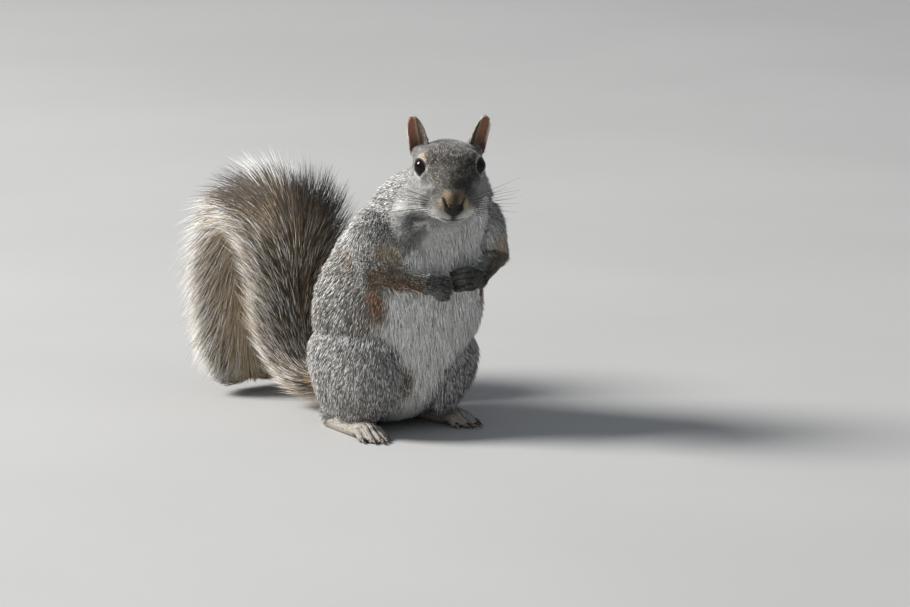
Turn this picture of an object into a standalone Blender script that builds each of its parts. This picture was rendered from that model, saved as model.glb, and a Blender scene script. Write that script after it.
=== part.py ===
"""A grey squirrel sitting up on its haunches, life size, as solids out to the tips of its coat.

The animal faces -Y, +Z is up, +X is its left, and it sits on the floor at z = 0. Places are written
as (left, forward, up) in millimetres and turned into scene metres by at(). The body is fused from
rounded masses, then parted by thin cuts into the parts a person names.
"""

import math

import bmesh
import bpy
from mathutils import Matrix, Vector
from mathutils.bvhtree import BVHTree

MM = 0.001
GAP = 0.35 * MM                 # thin cut between neighbouring parts
CENTRE_SHIFT = (-5.2, 38.5)     # left, forward: brings the middle of the bounding box over the origin

# Head: its frame is (left, forward, up) from the point midway between the eyes
HEAD_AT = (-7.3, 64.0, 166.5)
HEAD_YAW = 32.0                 # degrees, turned towards its own right
HEAD_PITCH = 13.0               # degrees, nose down
EYE_AT = (15.3, 0.0, 0.0)
EYE_RADIUS = 5.6
LIDS_AT = (16.9, 1.4, 0.3)      # a shallow dish in the coat round each eye
LIDS_RADIUS = 6.1
NOSE_AT = (0.0, 25.5, -14.6)
NOSE_SIZE = (5.5, 3.2, 5.8)
EAR_FOOT = (16.2, -13.5, 1.5)
EAR_TIP = {"r": (21.2, -19.0, 26.0), "l": (23.6, -18.0, 26.2)}
EAR_LENGTH = 23.5
EAR_WIDTH = 12.4
EAR_WALL = 1.3
EAR_OPENING = (0.52, 0.85)      # outward, forward: where the hollow of the ear faces

# Side differences: the right elbow is tucked in, and the left one is held out
SHOULDER = {"r": (-26.0, 20.0, 123.0), "l": (37.0, 27.5, 126.5)}
ELBOW = {"r": (-38.0, 30.0, 105.0), "l": (51.5, 31.0, 104.0)}
WRIST = {"r": (-17.6, 52.9, 96.4), "l": (20.0, 57.0, 96.0)}
PAW_TIP = {"r": (-8.6, 56.9, 93.8), "l": (1.0, 60.5, 97.5)}

# The left leg is drawn in closer under the body than the right one
HAUNCH_AT = {"r": (-30.0, 2.0, 44.0), "l": (28.5, -1.0, 44.0)}
HAUNCH_SIZE = (22.5, 38.0, 38.0)
KNEE_AT = {"r": (-26.0, 22.5, 41.0), "l": (18.5, 25.0, 37.0)}
KNEE_SIZE = (16.0, 15.0, 26.0)
HEEL_AT = {"r": (-31.0, -20.0, 10.0), "l": (26.0, -20.0, 10.0)}
FOOT_LENGTH = 62.0
FOOT_TOE_OUT = 7.0              # degrees
SHANK_CUT = (8.0, 17.0)         # forward, up: where the shank leaves the thigh
SHANK_FACING = (0.0, 0.25, -1.0)

# Radii along each limb, as (share of its length, radius)
UPPER_ARM = ((0.0, 17.0), (0.35, 17.0), (0.7, 14.0), (1.0, 10.5))
FOREARM = ((0.0, 10.0), (0.25, 9.0), (0.5, 7.6), (0.78, 6.3), (1.0, 5.6))
SHANK = ((0.1, 14.0), (0.45, 13.0), (0.8, 10.5), (1.0, 8.5))
ELBOW_CUT = 0.1                 # share of the forearm that stays with the upper arm

# Forepaw: distances from the wrist along it, out of its back and across it
PALM = ((-1.0, 0.0, 5.6), (5.0, 0.3, 6.4), (10.0, 0.0, 6.6))    # along, out, radius
PALM_FLATNESS = 0.75
FINGERS = 4
FINGER_PITCH = 3.5
FINGER_REACH = 13.5
KNUCKLE = 8.0                   # where a finger leaves the palm
# Joints of a bent finger: beyond its reach, share of its sideways place, out, radius
FINGER = (
    (0.0, 1.0, 1.2, 2.2),
    (3.4, 0.96, -1.6, 2.0),
    (3.6, 0.92, -5.2, 1.8),
    (1.4, 0.88, -7.6, 1.3),
    (-1.0, 0.86, -8.4, 0.7),
)

# Hind foot: distance from the heel and radius along the sole, then toes as (share, up, radius)
SOLE = ((-1.0, 5.4), (8.0, 5.9), (20.0, 6.1), (32.0, 6.7), (42.0, 7.2))
SOLE_FLATNESS = 0.8
SOLE_PRESSED = 1.3              # how far the sole is pressed flat against the floor
TOES = 5
TOE = (
    (0.0, 4.4, 2.6),
    (0.35, 5.4, 2.4),
    (0.65, 3.6, 2.3),
    (0.88, 1.9, 2.1),
    (1.0, 2.4, 1.2),
    (1.22, 1.0, 0.6),
)
TOE_PITCH = 3.1
TOE_BASE = 41.0
CLAW_REACH = 4.5

# The tail bone, from inside the rump: left, forward, up
TAIL_PATH = [
    (0.0, -36.0, 26.0),
    (-1.0, -56.0, 17.0),
    (-3.0, -74.0, 20.0),
    (-5.0, -86.0, 38.0),
    (-6.0, -89.0, 64.0),
    (-6.0, -90.0, 90.0),
    (-6.0, -97.0, 110.0),
    (-7.0, -113.0, 119.0),
    (-8.0, -130.0, 110.0),
    (-9.0, -139.0, 88.0),
    (-9.0, -140.0, 62.0),
    (-9.0, -138.0, 36.0),
    (-9.0, -135.0, 15.0),
    (-9.0, -133.0, 5.0),
]
# Brush round the bone at each of those points: to each side, outward of the bend, inward of it
TAIL_BRUSH = [
    (13.0, 12.0, 12.0),
    (18.0, 15.0, 17.5),
    (26.0, 17.0, 20.5),
    (33.0, 20.0, 20.0),
    (38.0, 22.0, 19.0),
    (42.0, 27.0, 19.0),
    (45.0, 36.0, 18.0),
    (45.0, 36.0, 17.0),
    (43.0, 33.0, 17.0),
    (43.0, 27.0, 19.0),
    (43.0, 24.0, 20.0),
    (42.0, 22.0, 20.0),
    (36.0, 18.0, 17.0),
    (17.0, 8.0, 9.0),
]
TAIL_CUTS = (0.0, 0.22, 0.42, 0.6, 0.8, 1.0)
TAIL_SIDES = 14
TAIL_GAP = 0.0013               # half of the cut between two lengths, as a share of the tail

VOXEL_BODY = 1.3 * MM
VOXEL_FINE = 0.7 * MM
CREASE = 42.0                   # degrees: sharper edges than this are shaded as corners
TRIANGLES = {"body": 1640, "foreleg": 330, "forepaw": 290, "hind_leg": 380, "hind_foot": 360}

COLOURS = {
    "grey_fur": ((0.30, 0.27, 0.23), 0.85),
    "rust_fur": ((0.27, 0.16, 0.09), 0.85),
    "tail_fur": ((0.36, 0.31, 0.25), 0.85),
    "ear_skin": ((0.42, 0.22, 0.14), 0.7),
    "eye": ((0.01, 0.008, 0.007), 0.08),
    "nose": ((0.05, 0.035, 0.03), 0.5),
}


# ---------------------------------------------------------------- places and meshes

def at(left, forward, up):
    """A place on the animal, as scene metres."""
    shift_left, shift_forward = CENTRE_SHIFT
    return Vector((left + shift_left, -(forward + shift_forward), up)) * MM


def head_matrix():
    """Carries head millimetres, written x left, y back and z up, into the scene."""
    yaw = Matrix.Rotation(math.radians(-HEAD_YAW), 4, "Z")
    pitch = Matrix.Rotation(math.radians(HEAD_PITCH), 4, "X")
    return Matrix.Translation(at(*HEAD_AT)) @ yaw @ pitch @ Matrix.Scale(MM, 4)


def material(name):
    colour, roughness = COLOURS[name]
    made = bpy.data.materials.get(name) or bpy.data.materials.new(name)
    made.use_nodes = True
    shader = made.node_tree.nodes["Principled BSDF"]
    shader.inputs["Base Color"].default_value = (*colour, 1.0)
    shader.inputs["Roughness"].default_value = roughness
    shader.inputs["Metallic"].default_value = 0.0
    made.diffuse_color = (*colour, 1.0)
    return made


def add_object(name, mesh, collection):
    made = bpy.data.objects.new(name, mesh)
    collection.objects.link(made)
    return made


def object_from(bm, name, collection):
    bmesh.ops.recalc_face_normals(bm, faces=bm.faces)
    mesh = bpy.data.meshes.new(name)
    bm.to_mesh(mesh)
    bm.free()
    return add_object(name, mesh, collection)


def freeze(obj):
    """Replaces the object's mesh by what its modifiers make of it."""
    bpy.context.view_layer.update()
    graph = bpy.context.evaluated_depsgraph_get()
    mesh = bpy.data.meshes.new_from_object(obj.evaluated_get(graph))
    obj.modifiers.clear()
    obj.data = mesh
    return obj


def copy_of(obj, name):
    made = add_object(name, obj.data.copy(), obj.users_collection[0])
    made.matrix_world = obj.matrix_world
    return made


def remove(*objects):
    for obj in objects:
        bpy.data.objects.remove(obj)


# ---------------------------------------------------------------- rounded masses and lofts

def add_mass(bm, centre, radii, turn=(0.0, 0.0, 0.0), frame=None, detail=3):
    """An ellipsoid. centre and radii are (left, forward, up) in mm, turn is degrees about those axes."""
    left, forward, up = centre
    rotation = Matrix.Identity(4)
    for angle, axis in zip(turn, ("X", "Y", "Z")):
        rotation = Matrix.Rotation(math.radians(angle), 4, axis) @ rotation
    size = Matrix.Diagonal((*radii, 1.0))
    if frame is None:
        place = Matrix.Translation(at(left, forward, up)) @ rotation @ Matrix.Scale(MM, 4)
    else:
        place = frame @ Matrix.Translation((left, -forward, up)) @ rotation
    bmesh.ops.create_icosphere(bm, subdivisions=detail, radius=1.0, matrix=place @ size)


def add_pair(bm, centre, radii, turn=(0.0, 0.0, 0.0), frame=None):
    """The same mass on the left and on the right."""
    for side in (1, -1):
        mirrored_turn = (turn[0], side * turn[1], side * turn[2])
        add_mass(bm, (side * centre[0], centre[1], centre[2]), radii, mirrored_turn, frame)


def bridge_rings(bm, rings):
    """A closed loft through rings of points, each ring with the same number of points."""
    loops = [[bm.verts.new(point) for point in ring] for ring in rings]
    sides = len(rings[0])
    for lower, upper in zip(loops, loops[1:]):
        for i in range(sides):
            j = (i + 1) % sides
            bm.faces.new((lower[i], lower[j], upper[j], upper[i]))
    bm.faces.new(reversed(loops[0]))
    bm.faces.new(loops[-1])


def rounded(angle, power):
    """A point on a superellipse of radius 1: power 2 is a circle, more is squarer."""
    c, s = math.cos(angle), math.sin(angle)
    scale = (abs(c) ** power + abs(s) ** power) ** (-1.0 / power)
    return c * scale, s * scale


def smooth_path(points, samples):
    """Catmull-Rom through points of any width, evenly spaced in parameter from 0 to 1."""
    last = len(points) - 1
    found = []
    for k in range(samples):
        t = k / (samples - 1) * last
        i = min(int(t), last - 1)
        t -= i
        p0, p1, p2, p3 = (points[min(max(i + d, 0), last)] for d in (-1, 0, 1, 2))
        found.append([
            0.5 * (2 * b + (c - a) * t + (2 * a - 5 * b + 4 * c - d) * t ** 2
                   + (3 * b - a - 3 * c + d) * t ** 3)
            for a, b, c, d in zip(p0, p1, p2, p3)
        ])
    return found


def add_limb(bm, stations, sides=14, flat=1.0, up=Vector((0, 0, 1))):
    """A limb through stations of (scene point, radius in mm), with round ends.

    flat is the section's height over its width, and up is the direction that height is measured in."""
    points = [Vector(p) for p, _ in stations]
    radii = [r * MM for _, r in stations]
    tangents = [(points[min(i + 1, len(points) - 1)] - points[max(i - 1, 0)]).normalized()
                for i in range(len(points))]
    rings = []
    for end, order in ((0, (0.35, 0.75)), (-1, (0.75, 0.35))):
        direction = -tangents[0] if end == 0 else tangents[-1]
        caps = []
        for share in order:
            reach = math.sqrt(1 - share ** 2) * radii[end]
            caps.append((points[end] + direction * reach, tangents[end], radii[end] * share))
        if end == 0:
            rings += caps
            rings += list(zip(points, tangents, radii))
        else:
            rings += caps
    loops = []
    for point, tangent, radius in rings:
        side = tangent.cross(up).normalized()
        top = side.cross(tangent).normalized()
        loops.append([point + side * math.cos(a) * radius + top * math.sin(a) * radius * flat
                      for a in (2 * math.pi * i / sides for i in range(sides))])
    bridge_rings(bm, loops)


def fuse(obj, voxel, smoothing, faces=None):
    """Fuses overlapping masses into one smooth skin, and thins its mesh to about that many triangles."""
    remesh = obj.modifiers.new("fuse", "REMESH")
    remesh.mode = "VOXEL"
    remesh.voxel_size = voxel
    smooth = obj.modifiers.new("soften", "SMOOTH")
    smooth.factor = 0.5
    smooth.iterations = smoothing
    freeze(obj)
    if faces:
        triangles = 2 * len(obj.data.polygons)
        thin = obj.modifiers.new("thin", "DECIMATE")
        thin.ratio = min(1.0, faces / triangles)
        freeze(obj)
    return obj


# ---------------------------------------------------------------- thin cuts

def grown(obj, by):
    """A copy whose surface stands proud by that much, to cut a pocket that keeps a gap."""
    made = copy_of(obj, obj.name + "_grown")
    swell = made.modifiers.new("swell", "DISPLACE")
    swell.strength = by
    swell.mid_level = 0.0
    return freeze(made)


def boolean(obj, other, operation, crossing=False):
    """crossing tells that other has surfaces that pass through each other."""
    cut = obj.modifiers.new(operation.lower(), "BOOLEAN")
    cut.operation = operation
    cut.object = other
    cut.solver = "EXACT"
    cut.use_self = crossing
    return freeze(obj)


def touches(one, other):
    trees = []
    for obj in (one, other):
        bm = bmesh.new()
        bm.from_mesh(obj.data)
        bm.transform(obj.matrix_world)
        trees.append(BVHTree.FromBMesh(bm))
        bm.free()
    return bool(trees[0].overlap(trees[1]))


def pocket(obj, *others, by=GAP, crossing=False):
    """Cuts from obj the room that the others take, where they meet it."""
    for other in others:
        cutter = grown(other, by)
        if touches(obj, cutter):
            boolean(obj, cutter, "DIFFERENCE", crossing)
        remove(cutter)
    return obj


def largest_piece(obj):
    """Drops loose crumbs that a cut left, and keeps the one large body."""
    bm = bmesh.new()
    bm.from_mesh(obj.data)
    left = set(bm.verts)
    pieces = []
    while left:
        todo = [left.pop()]
        piece = set(todo)
        while todo:
            for edge in todo.pop().link_edges:
                for vert in edge.verts:
                    if vert in left:
                        left.discard(vert)
                        piece.add(vert)
                        todo.append(vert)
        pieces.append(piece)
    pieces.sort(key=len)
    crumbs = [vert for piece in pieces[:-1] for vert in piece]
    bmesh.ops.delete(bm, geom=crumbs, context="VERTS")
    bm.to_mesh(obj.data)
    bm.free()
    return obj


def half_space(point, normal, collection, size=0.6):
    """A large block whose one face lies through point, on the side that normal points to."""
    bm = bmesh.new()
    bmesh.ops.create_cube(bm, size=size)
    block = object_from(bm, "half_space", collection)
    turn = Vector(normal).normalized().to_track_quat("Z", "Y").to_matrix().to_4x4()
    block.matrix_world = (
        Matrix.Translation(point) @ turn @ Matrix.Translation((0, 0, size / 2))
    )
    bpy.context.view_layer.update()
    return block


def part_at_plane(obj, point, normal, name_beyond):
    """Parts obj with a thin cut. What lies on the normal's side becomes a new object."""
    normal = Vector(normal).normalized()
    collection = obj.users_collection[0]
    beyond = copy_of(obj, name_beyond)
    for piece, direction in ((beyond, normal), (obj, -normal)):
        keep = half_space(Vector(point) + direction * GAP / 2, direction, collection)
        boolean(piece, keep, "INTERSECT")
        largest_piece(piece)
        remove(keep)
    return beyond


def stand_on_floor(obj):
    """Trims what lies below the floor, which leaves a small flat at z = 0."""
    keep = half_space((0, 0, 0), (0, 0, 1), obj.users_collection[0])
    boolean(obj, keep, "INTERSECT")
    remove(keep)
    return obj


def finish(obj, name, material_name):
    obj.name = name
    obj.data.name = name
    obj.data.materials.clear()
    obj.data.materials.append(material(material_name))
    obj.data.shade_smooth()
    obj.data.set_sharp_from_angle(angle=math.radians(CREASE))
    return obj


# ---------------------------------------------------------------- torso, neck and head

# Level sections of the torso: up, (left, forward) of the middle, half width, half depth
TORSO = [
    (3.0, (0.0, -16.0), 14.0, 16.0),
    (8.0, (0.0, -12.0), 24.0, 27.0),
    (18.0, (0.0, -8.0), 32.0, 37.0),
    (32.0, (0.5, -5.0), 38.5, 42.5),
    (47.0, (1.0, -2.5), 44.5, 44.5),
    (62.0, (2.0, 0.0), 50.5, 46.0),
    (74.0, (2.0, 2.0), 52.5, 46.0),
    (86.0, (2.0, 4.0), 51.5, 45.0),
    (98.0, (2.5, 7.0), 49.0, 43.5),
    (110.0, (3.5, 11.0), 45.5, 41.0),
    (120.0, (5.0, 15.0), 43.5, 39.0),
    (130.0, (7.5, 20.0), 41.0, 36.5),
    (140.0, (9.5, 25.0), 37.0, 33.5),
    (149.0, (9.0, 31.0), 31.5, 31.0),
    (157.0, (7.5, 38.0), 24.5, 26.0),
    (163.0, (5.0, 44.0), 15.0, 18.0),
]
TORSO_SIDES = 40
TORSO_POWER = 2.15
# Cuts below and above the neck: a place on each and the way it faces
NECK_LOW = (8.0, 28.0, 136.0)
NECK_LOW_FACING = (-0.05, -0.62, 0.78)
NECK_HIGH = (6.0, 46.0, 150.0)
NECK_HIGH_FACING = (-0.45, -0.8, 0.35)

# Sections of the skull in the head's frame: forward, top, bottom, half width, squareness
SKULL = [
    (-33.0, 4.0, -15.0, 13.0, 2.0),
    (-28.0, 8.0, -22.0, 17.5, 2.1),
    (-20.0, 10.8, -27.5, 21.0, 2.5),
    (-11.0, 12.2, -30.5, 22.4, 2.8),
    (-3.0, 12.0, -31.5, 21.8, 2.8),
    (4.0, 10.8, -31.0, 19.8, 2.7),
    (10.0, 8.2, -30.0, 17.0, 2.5),
    (15.0, 5.0, -29.0, 14.2, 2.2),
    (20.0, 0.8, -27.8, 12.2, 2.2),
    (24.0, -3.2, -26.0, 10.0, 2.1),
    (27.0, -7.4, -22.4, 6.6, 2.0),
]
SKULL_SIDES = 28


def torso_mass(collection):
    bm = bmesh.new()
    rings = []
    for up, (left, forward), half_width, half_depth in smooth_torso():
        rings.append([
            at(left + half_width * x, forward + half_depth * y, up)
            for x, y in (rounded(2 * math.pi * i / TORSO_SIDES, TORSO_POWER)
                         for i in range(TORSO_SIDES))
        ])
    bridge_rings(bm, rings)
    add_mass(bm, (3.0, 34.0, 112.0), (25.0, 19.0, 28.0))           # breast
    add_mass(bm, (0.0, 20.0, 56.0), (27.0, 22.5, 30.0))            # belly
    return fuse(object_from(bm, "torso", collection), VOXEL_BODY, 14)


def smooth_torso():
    rows = [(up, left, forward, width, depth) for up, (left, forward), width, depth in TORSO]
    return [(up, (left, forward), width, depth)
            for up, left, forward, width, depth in smooth_path(rows, 3 * len(rows))]


def skull_rings(frame):
    rings = []
    for forward, top, bottom, half_width, power in smooth_path(SKULL, 2 * len(SKULL)):
        middle, half_height = (top + bottom) / 2, (top - bottom) / 2
        ring = []
        for i in range(SKULL_SIDES):
            x, z = rounded(2 * math.pi * i / SKULL_SIDES, power)
            narrowing = 1.0 - 0.16 * max(z, 0.0) ** 2      # the crown is narrower than the cheeks
            ring.append(frame @ Vector((x * half_width * narrowing, -forward, middle + z * half_height)))
        rings.append(ring)
    return rings


def head_mass(collection, frame):
    bm = bmesh.new()
    bridge_rings(bm, skull_rings(frame))
    add_pair(bm, (12.0, -9.0, -14.5), (11.8, 15.0, 14.5), frame=frame)            # cheeks
    add_pair(bm, (12.0, 0.5, 4.6), (6.0, 9.5, 5.4), frame=frame)                  # brows
    add_pair(bm, (13.0, 3.0, -8.4), (6.2, 8.5, 5.0), frame=frame)                 # under the eyes
    add_pair(bm, (7.2, 18.5, -16.6), (7.6, 8.2, 7.4), (0.0, 0.0, 12.0), frame)    # whisker pads
    add_mass(bm, (0.0, 15.0, -24.0), (6.8, 8.4, 5.4), frame=frame)                # chin
    add_mass(bm, (0.0, 14.0, -2.6), (7.4, 14.0, 5.4), (36.0, 0.0, 0.0), frame)    # bridge of the nose
    add_mass(bm, (0.0, 22.6, -9.6), (6.2, 6.0, 5.8), frame=frame)                 # tip of the snout
    add_mass(bm, (0.0, -17.0, -2.0), (17.5, 14.0, 13.0), frame=frame)              # back of the head
    return fuse(object_from(bm, "head", collection), VOXEL_FINE * 1.3, 4)


def join(first, *others):
    bm = bmesh.new()
    for obj in (first, *others):
        bm.from_mesh(obj.data)
    bm.to_mesh(first.data)
    bm.free()
    remove(*others)
    return first


# ---------------------------------------------------------------- ears, eyes and nose

def ear(side, frame, collection):
    """A thin cupped leaf that opens forward and outward, with its foot set in the side of the crown."""
    sign = 1 if side == "l" else -1
    rows, columns = 8, 7
    foot, tip = (Vector((sign * left, -forward, up)) for left, forward, up in (EAR_FOOT, EAR_TIP[side]))
    axis = (tip - foot).normalized()
    outward, forward = EAR_OPENING
    opening = Vector((sign * outward, -forward, 0.0))
    opening = (opening - axis * opening.dot(axis)).normalized()
    across = axis.cross(opening).normalized()
    bm = bmesh.new()
    grid = []
    for i in range(rows):
        s = 1 - (1 - i / (rows - 1)) ** 1.5
        width = EAR_WIDTH / 2 * math.sqrt(max(1 - s ** 4, 0.012))
        bend = math.radians(88 - 42 * s)
        row = []
        for j in range(columns):
            t = 2 * j / (columns - 1) - 1
            turn = t * bend
            radius = width / math.sin(bend)
            inward = radius * (math.cos(turn) - math.cos(bend))
            point = foot + axis * EAR_LENGTH * s + across * radius * math.sin(turn) - opening * inward
            row.append(bm.verts.new(frame @ point))
        grid.append(row)
    for lower, upper in zip(grid, grid[1:]):
        for j in range(columns - 1):
            bm.faces.new((lower[j], lower[j + 1], upper[j + 1], upper[j]))
    made = object_from(bm, "ear_" + side, collection)
    wall = made.modifiers.new("wall", "SOLIDIFY")
    wall.thickness = EAR_WALL * MM
    wall.offset = 0.0
    return freeze(made)


def ball(name, centre, radius, frame, collection, squash=(1.0, 1.0, 1.0)):
    bm = bmesh.new()
    place = frame @ Matrix.Translation((centre[0], -centre[1], centre[2]))
    bmesh.ops.create_uvsphere(
        bm, u_segments=12, v_segments=6, radius=radius,
        matrix=place @ Matrix.Diagonal((*squash, 1.0)),
    )
    return object_from(bm, name, collection)


# ---------------------------------------------------------------- limbs

def foreleg(side, collection):
    """Upper arm and forearm as one smooth limb, parted at the elbow, and the paw beyond the wrist.

    Gives the limb before it was parted, then its pieces."""
    shoulder, elbow, wrist = (at(*place[side]) for place in (SHOULDER, ELBOW, WRIST))
    bm = bmesh.new()
    add_limb(bm, [(shoulder.lerp(elbow, share), radius) for share, radius in UPPER_ARM])
    add_limb(bm, [(elbow.lerp(wrist, share), radius) for share, radius in FOREARM])
    upper_arm = object_from(bm, "upper_arm_" + side, collection)
    fuse(upper_arm, VOXEL_FINE * 1.4, 8, TRIANGLES["foreleg"])
    whole = copy_of(upper_arm, "foreleg")
    bisector = (elbow - shoulder).normalized() + (wrist - elbow).normalized()
    forearm = part_at_plane(upper_arm, elbow.lerp(wrist, ELBOW_CUT), bisector, "forearm_" + side)
    paw = forepaw(side, collection)
    along = (wrist - elbow).normalized()
    for piece, direction in ((forearm, -along), (paw, along)):
        keep = half_space(wrist + direction * GAP / 2, direction, collection)
        boolean(piece, keep, "INTERSECT", crossing=True)
        largest_piece(piece)
        remove(keep)
    return whole, (upper_arm, forearm, paw)


def hand_frame(side):
    """Axes of a forepaw: along it, out of its back, and across it."""
    wrist, tip = at(*WRIST[side]), at(*PAW_TIP[side])
    along = (tip - wrist).normalized()
    back = Vector((0.0, -1.0, 0.35))                 # the back of the paw faces forward
    back = (back - along * back.dot(along)).normalized()
    return wrist, along, back, along.cross(back).normalized()


def forepaw(side, collection):
    """A curled paw: a palm, four fingers bent in towards the chest, and their claws."""
    wrist, along, back, across = hand_frame(side)
    bm = bmesh.new()

    def place(forward, sideways, up):
        return wrist + (along * forward + across * sideways + back * up) * MM

    palm = [(place(forward, 0.0, out), radius) for forward, out, radius in PALM]
    add_limb(bm, palm, flat=PALM_FLATNESS, up=back)
    for finger in range(FINGERS):
        sideways = (finger - (FINGERS - 1) / 2) * FINGER_PITCH
        reach = FINGER_REACH - 0.9 * abs(finger - 1.4)            # the second finger is the longest
        points = [(place(KNUCKLE, sideways, 0.8), 2.4)]
        for beyond, share, out, radius in FINGER:
            points.append((place(reach + beyond, sideways * share, out), radius))
        add_limb(bm, points, sides=8)
    return fuse(object_from(bm, "forepaw_" + side, collection), VOXEL_FINE, 2, TRIANGLES["forepaw"])


def hind_leg(side, collection):
    """Thigh and shank as one mass, parted below the knee, and the foot that carries them.

    Gives the leg before it was parted, then its pieces."""
    bm = bmesh.new()
    add_mass(bm, HAUNCH_AT[side], HAUNCH_SIZE, (-8.0, 0.0, 0.0))
    add_mass(bm, KNEE_AT[side], KNEE_SIZE)
    knee, heel = at(*KNEE_AT[side]), at(*HEEL_AT[side])
    add_limb(bm, [(knee.lerp(heel, share), radius) for share, radius in SHANK])
    thigh = fuse(object_from(bm, "thigh_" + side, collection), VOXEL_BODY, 10, TRIANGLES["hind_leg"])
    whole = copy_of(thigh, "hind_leg")
    shank = part_at_plane(thigh, at(HAUNCH_AT[side][0], *SHANK_CUT), SHANK_FACING, "shank_" + side)
    foot = hind_foot(side, collection)
    pocket(shank, foot, crossing=True)
    stand_on_floor(shank)
    return whole, (thigh, shank, foot)


def hind_foot(side, collection):
    """A long flat foot with five toes and their claws, its sole flat on the floor."""
    sign = 1 if side == "l" else -1
    heel = at(*HEEL_AT[side])
    turn = math.radians(FOOT_TOE_OUT) * sign
    ahead = Vector((math.sin(turn), -math.cos(turn), 0.0))
    across = Vector((math.cos(turn), math.sin(turn), 0.0))

    def place(forward, sideways, up):
        point = heel + (ahead * forward + across * sideways) * MM
        return Vector((point.x, point.y, up * MM))

    bm = bmesh.new()
    sole = [(place(forward, 0, radius * SOLE_FLATNESS - SOLE_PRESSED), radius) for forward, radius in SOLE]
    add_limb(bm, sole, flat=SOLE_FLATNESS)
    for toe in range(TOES):
        spread = toe - (TOES - 1) / 2
        base = TOE_BASE - 1.1 * abs(spread) ** 1.5                # the middle toe is the longest
        length = FOOT_LENGTH - CLAW_REACH - 2.6 * abs(spread) ** 1.6 - base
        points = []
        for share, up, radius in TOE:
            points.append((place(base + length * share, spread * (TOE_PITCH + share), up), radius))
        add_limb(bm, points, sides=8)
    foot = fuse(object_from(bm, "hind_foot_" + side, collection), VOXEL_FINE, 2, TRIANGLES["hind_foot"])
    return stand_on_floor(foot)


# ---------------------------------------------------------------- tail

def tail_station(share):
    """Middle, tangent, sideways and outward directions and the brush's reach at a share of the length."""
    here, = smooth_path_at(TAIL_PATH, [share])
    before, after = smooth_path_at(TAIL_PATH, [max(share - 0.01, 0.0), min(share + 0.01, 1.0)])
    tangent = (at(*after) - at(*before)).normalized()
    sideways = Vector((1.0, 0.0, 0.0))
    sideways = (sideways - tangent * sideways.dot(tangent)).normalized()
    outward = sideways.cross(tangent).normalized()
    brush, = smooth_path_at(TAIL_BRUSH, [share])
    return at(*here), tangent, sideways, outward, brush


def smooth_path_at(points, shares):
    """smooth_path at chosen shares of its length in parameter."""
    fine = smooth_path(points, 20 * (len(points) - 1) + 1)
    found = []
    for share in shares:
        t = share * (len(fine) - 1)
        i = min(int(t), len(fine) - 2)
        found.append([a + (b - a) * (t - i) for a, b in zip(fine[i], fine[i + 1])])
    return found


def tail_length(name, start, end, collection):
    """One length of the brush, from share start to share end of the tail."""
    rings = []
    count = max(6, round((end - start) * 30))
    for k in range(count):
        share = start + TAIL_GAP + (end - start - 2 * TAIL_GAP) * k / (count - 1)
        middle, _, sideways, outward, (side, out, inward) = tail_station(share)
        ring = []
        for i in range(TAIL_SIDES):
            x, z = rounded(2 * math.pi * i / TAIL_SIDES, 2.0)
            reach = out if z > 0 else inward
            ring.append(middle + sideways * side * x * MM + outward * reach * z * MM)
        rings.append(ring)
    bm = bmesh.new()
    bridge_rings(bm, rings)
    return object_from(bm, name, collection)


# ---------------------------------------------------------------- the animal

def build():
    for obj in list(bpy.data.objects):
        bpy.data.objects.remove(obj)
    collection = bpy.data.collections.new("squirrel")
    bpy.context.scene.collection.children.link(collection)
    frame = head_matrix()

    trunk = join(torso_mass(collection), head_mass(collection, frame))
    fuse(trunk, VOXEL_BODY * 0.9, 2, TRIANGLES["body"])

    for side in ("l", "r"):
        whole_foreleg, foreleg_pieces = foreleg(side, collection)
        whole_hind_leg, hind_leg_pieces = hind_leg(side, collection)
        pocket(trunk, whole_foreleg, whole_hind_leg)
        pocket(trunk, foreleg_pieces[-1], hind_leg_pieces[-1], crossing=True)
        remove(whole_foreleg, whole_hind_leg)
        for piece in foreleg_pieces + hind_leg_pieces:
            largest_piece(piece)
            finish(piece, piece.name, "rust_fur" if "fore" in piece.name else "grey_fur")
    pocket(bpy.data.objects["forepaw_l"], bpy.data.objects["forepaw_r"], crossing=True)

    for number, (start, end) in enumerate(zip(TAIL_CUTS, TAIL_CUTS[1:]), 1):
        length = stand_on_floor(tail_length(f"tail_{number}", start, end, collection))
        finish(length, length.name, "tail_fur")
        if number == 1:
            pocket(trunk, length)

    for side, sign in (("l", 1), ("r", -1)):
        dish_left, dish_forward, dish_up = LIDS_AT
        dish = ball("dish", (sign * dish_left, dish_forward, dish_up), LIDS_RADIUS, frame, collection)
        boolean(trunk, dish, "DIFFERENCE")
        remove(dish)
        eye_left, eye_forward, eye_up = EYE_AT
        eye = ball("eye_" + side, (sign * eye_left, eye_forward, eye_up), EYE_RADIUS, frame, collection)
        leaf = ear(side, frame, collection)
        pocket(trunk, eye, leaf)
        finish(eye, eye.name, "eye")
        finish(leaf, leaf.name, "ear_skin")
    nose = ball("nose", NOSE_AT, 1.0, frame, collection, NOSE_SIZE)
    pocket(trunk, nose)
    finish(nose, nose.name, "nose")

    stand_on_floor(trunk)
    largest_piece(trunk)
    neck = part_at_plane(trunk, at(*NECK_LOW), NECK_LOW_FACING, "neck")
    head = part_at_plane(neck, at(*NECK_HIGH), NECK_HIGH_FACING, "head")
    for piece, name in ((head, "head"), (neck, "neck"), (trunk, "trunk")):
        finish(piece, name, "grey_fur")


build()
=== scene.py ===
import math

import bmesh
import bpy
import numpy as np
from mathutils import Matrix, Vector
from mathutils.bvhtree import BVHTree
from mathutils.kdtree import KDTree


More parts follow.
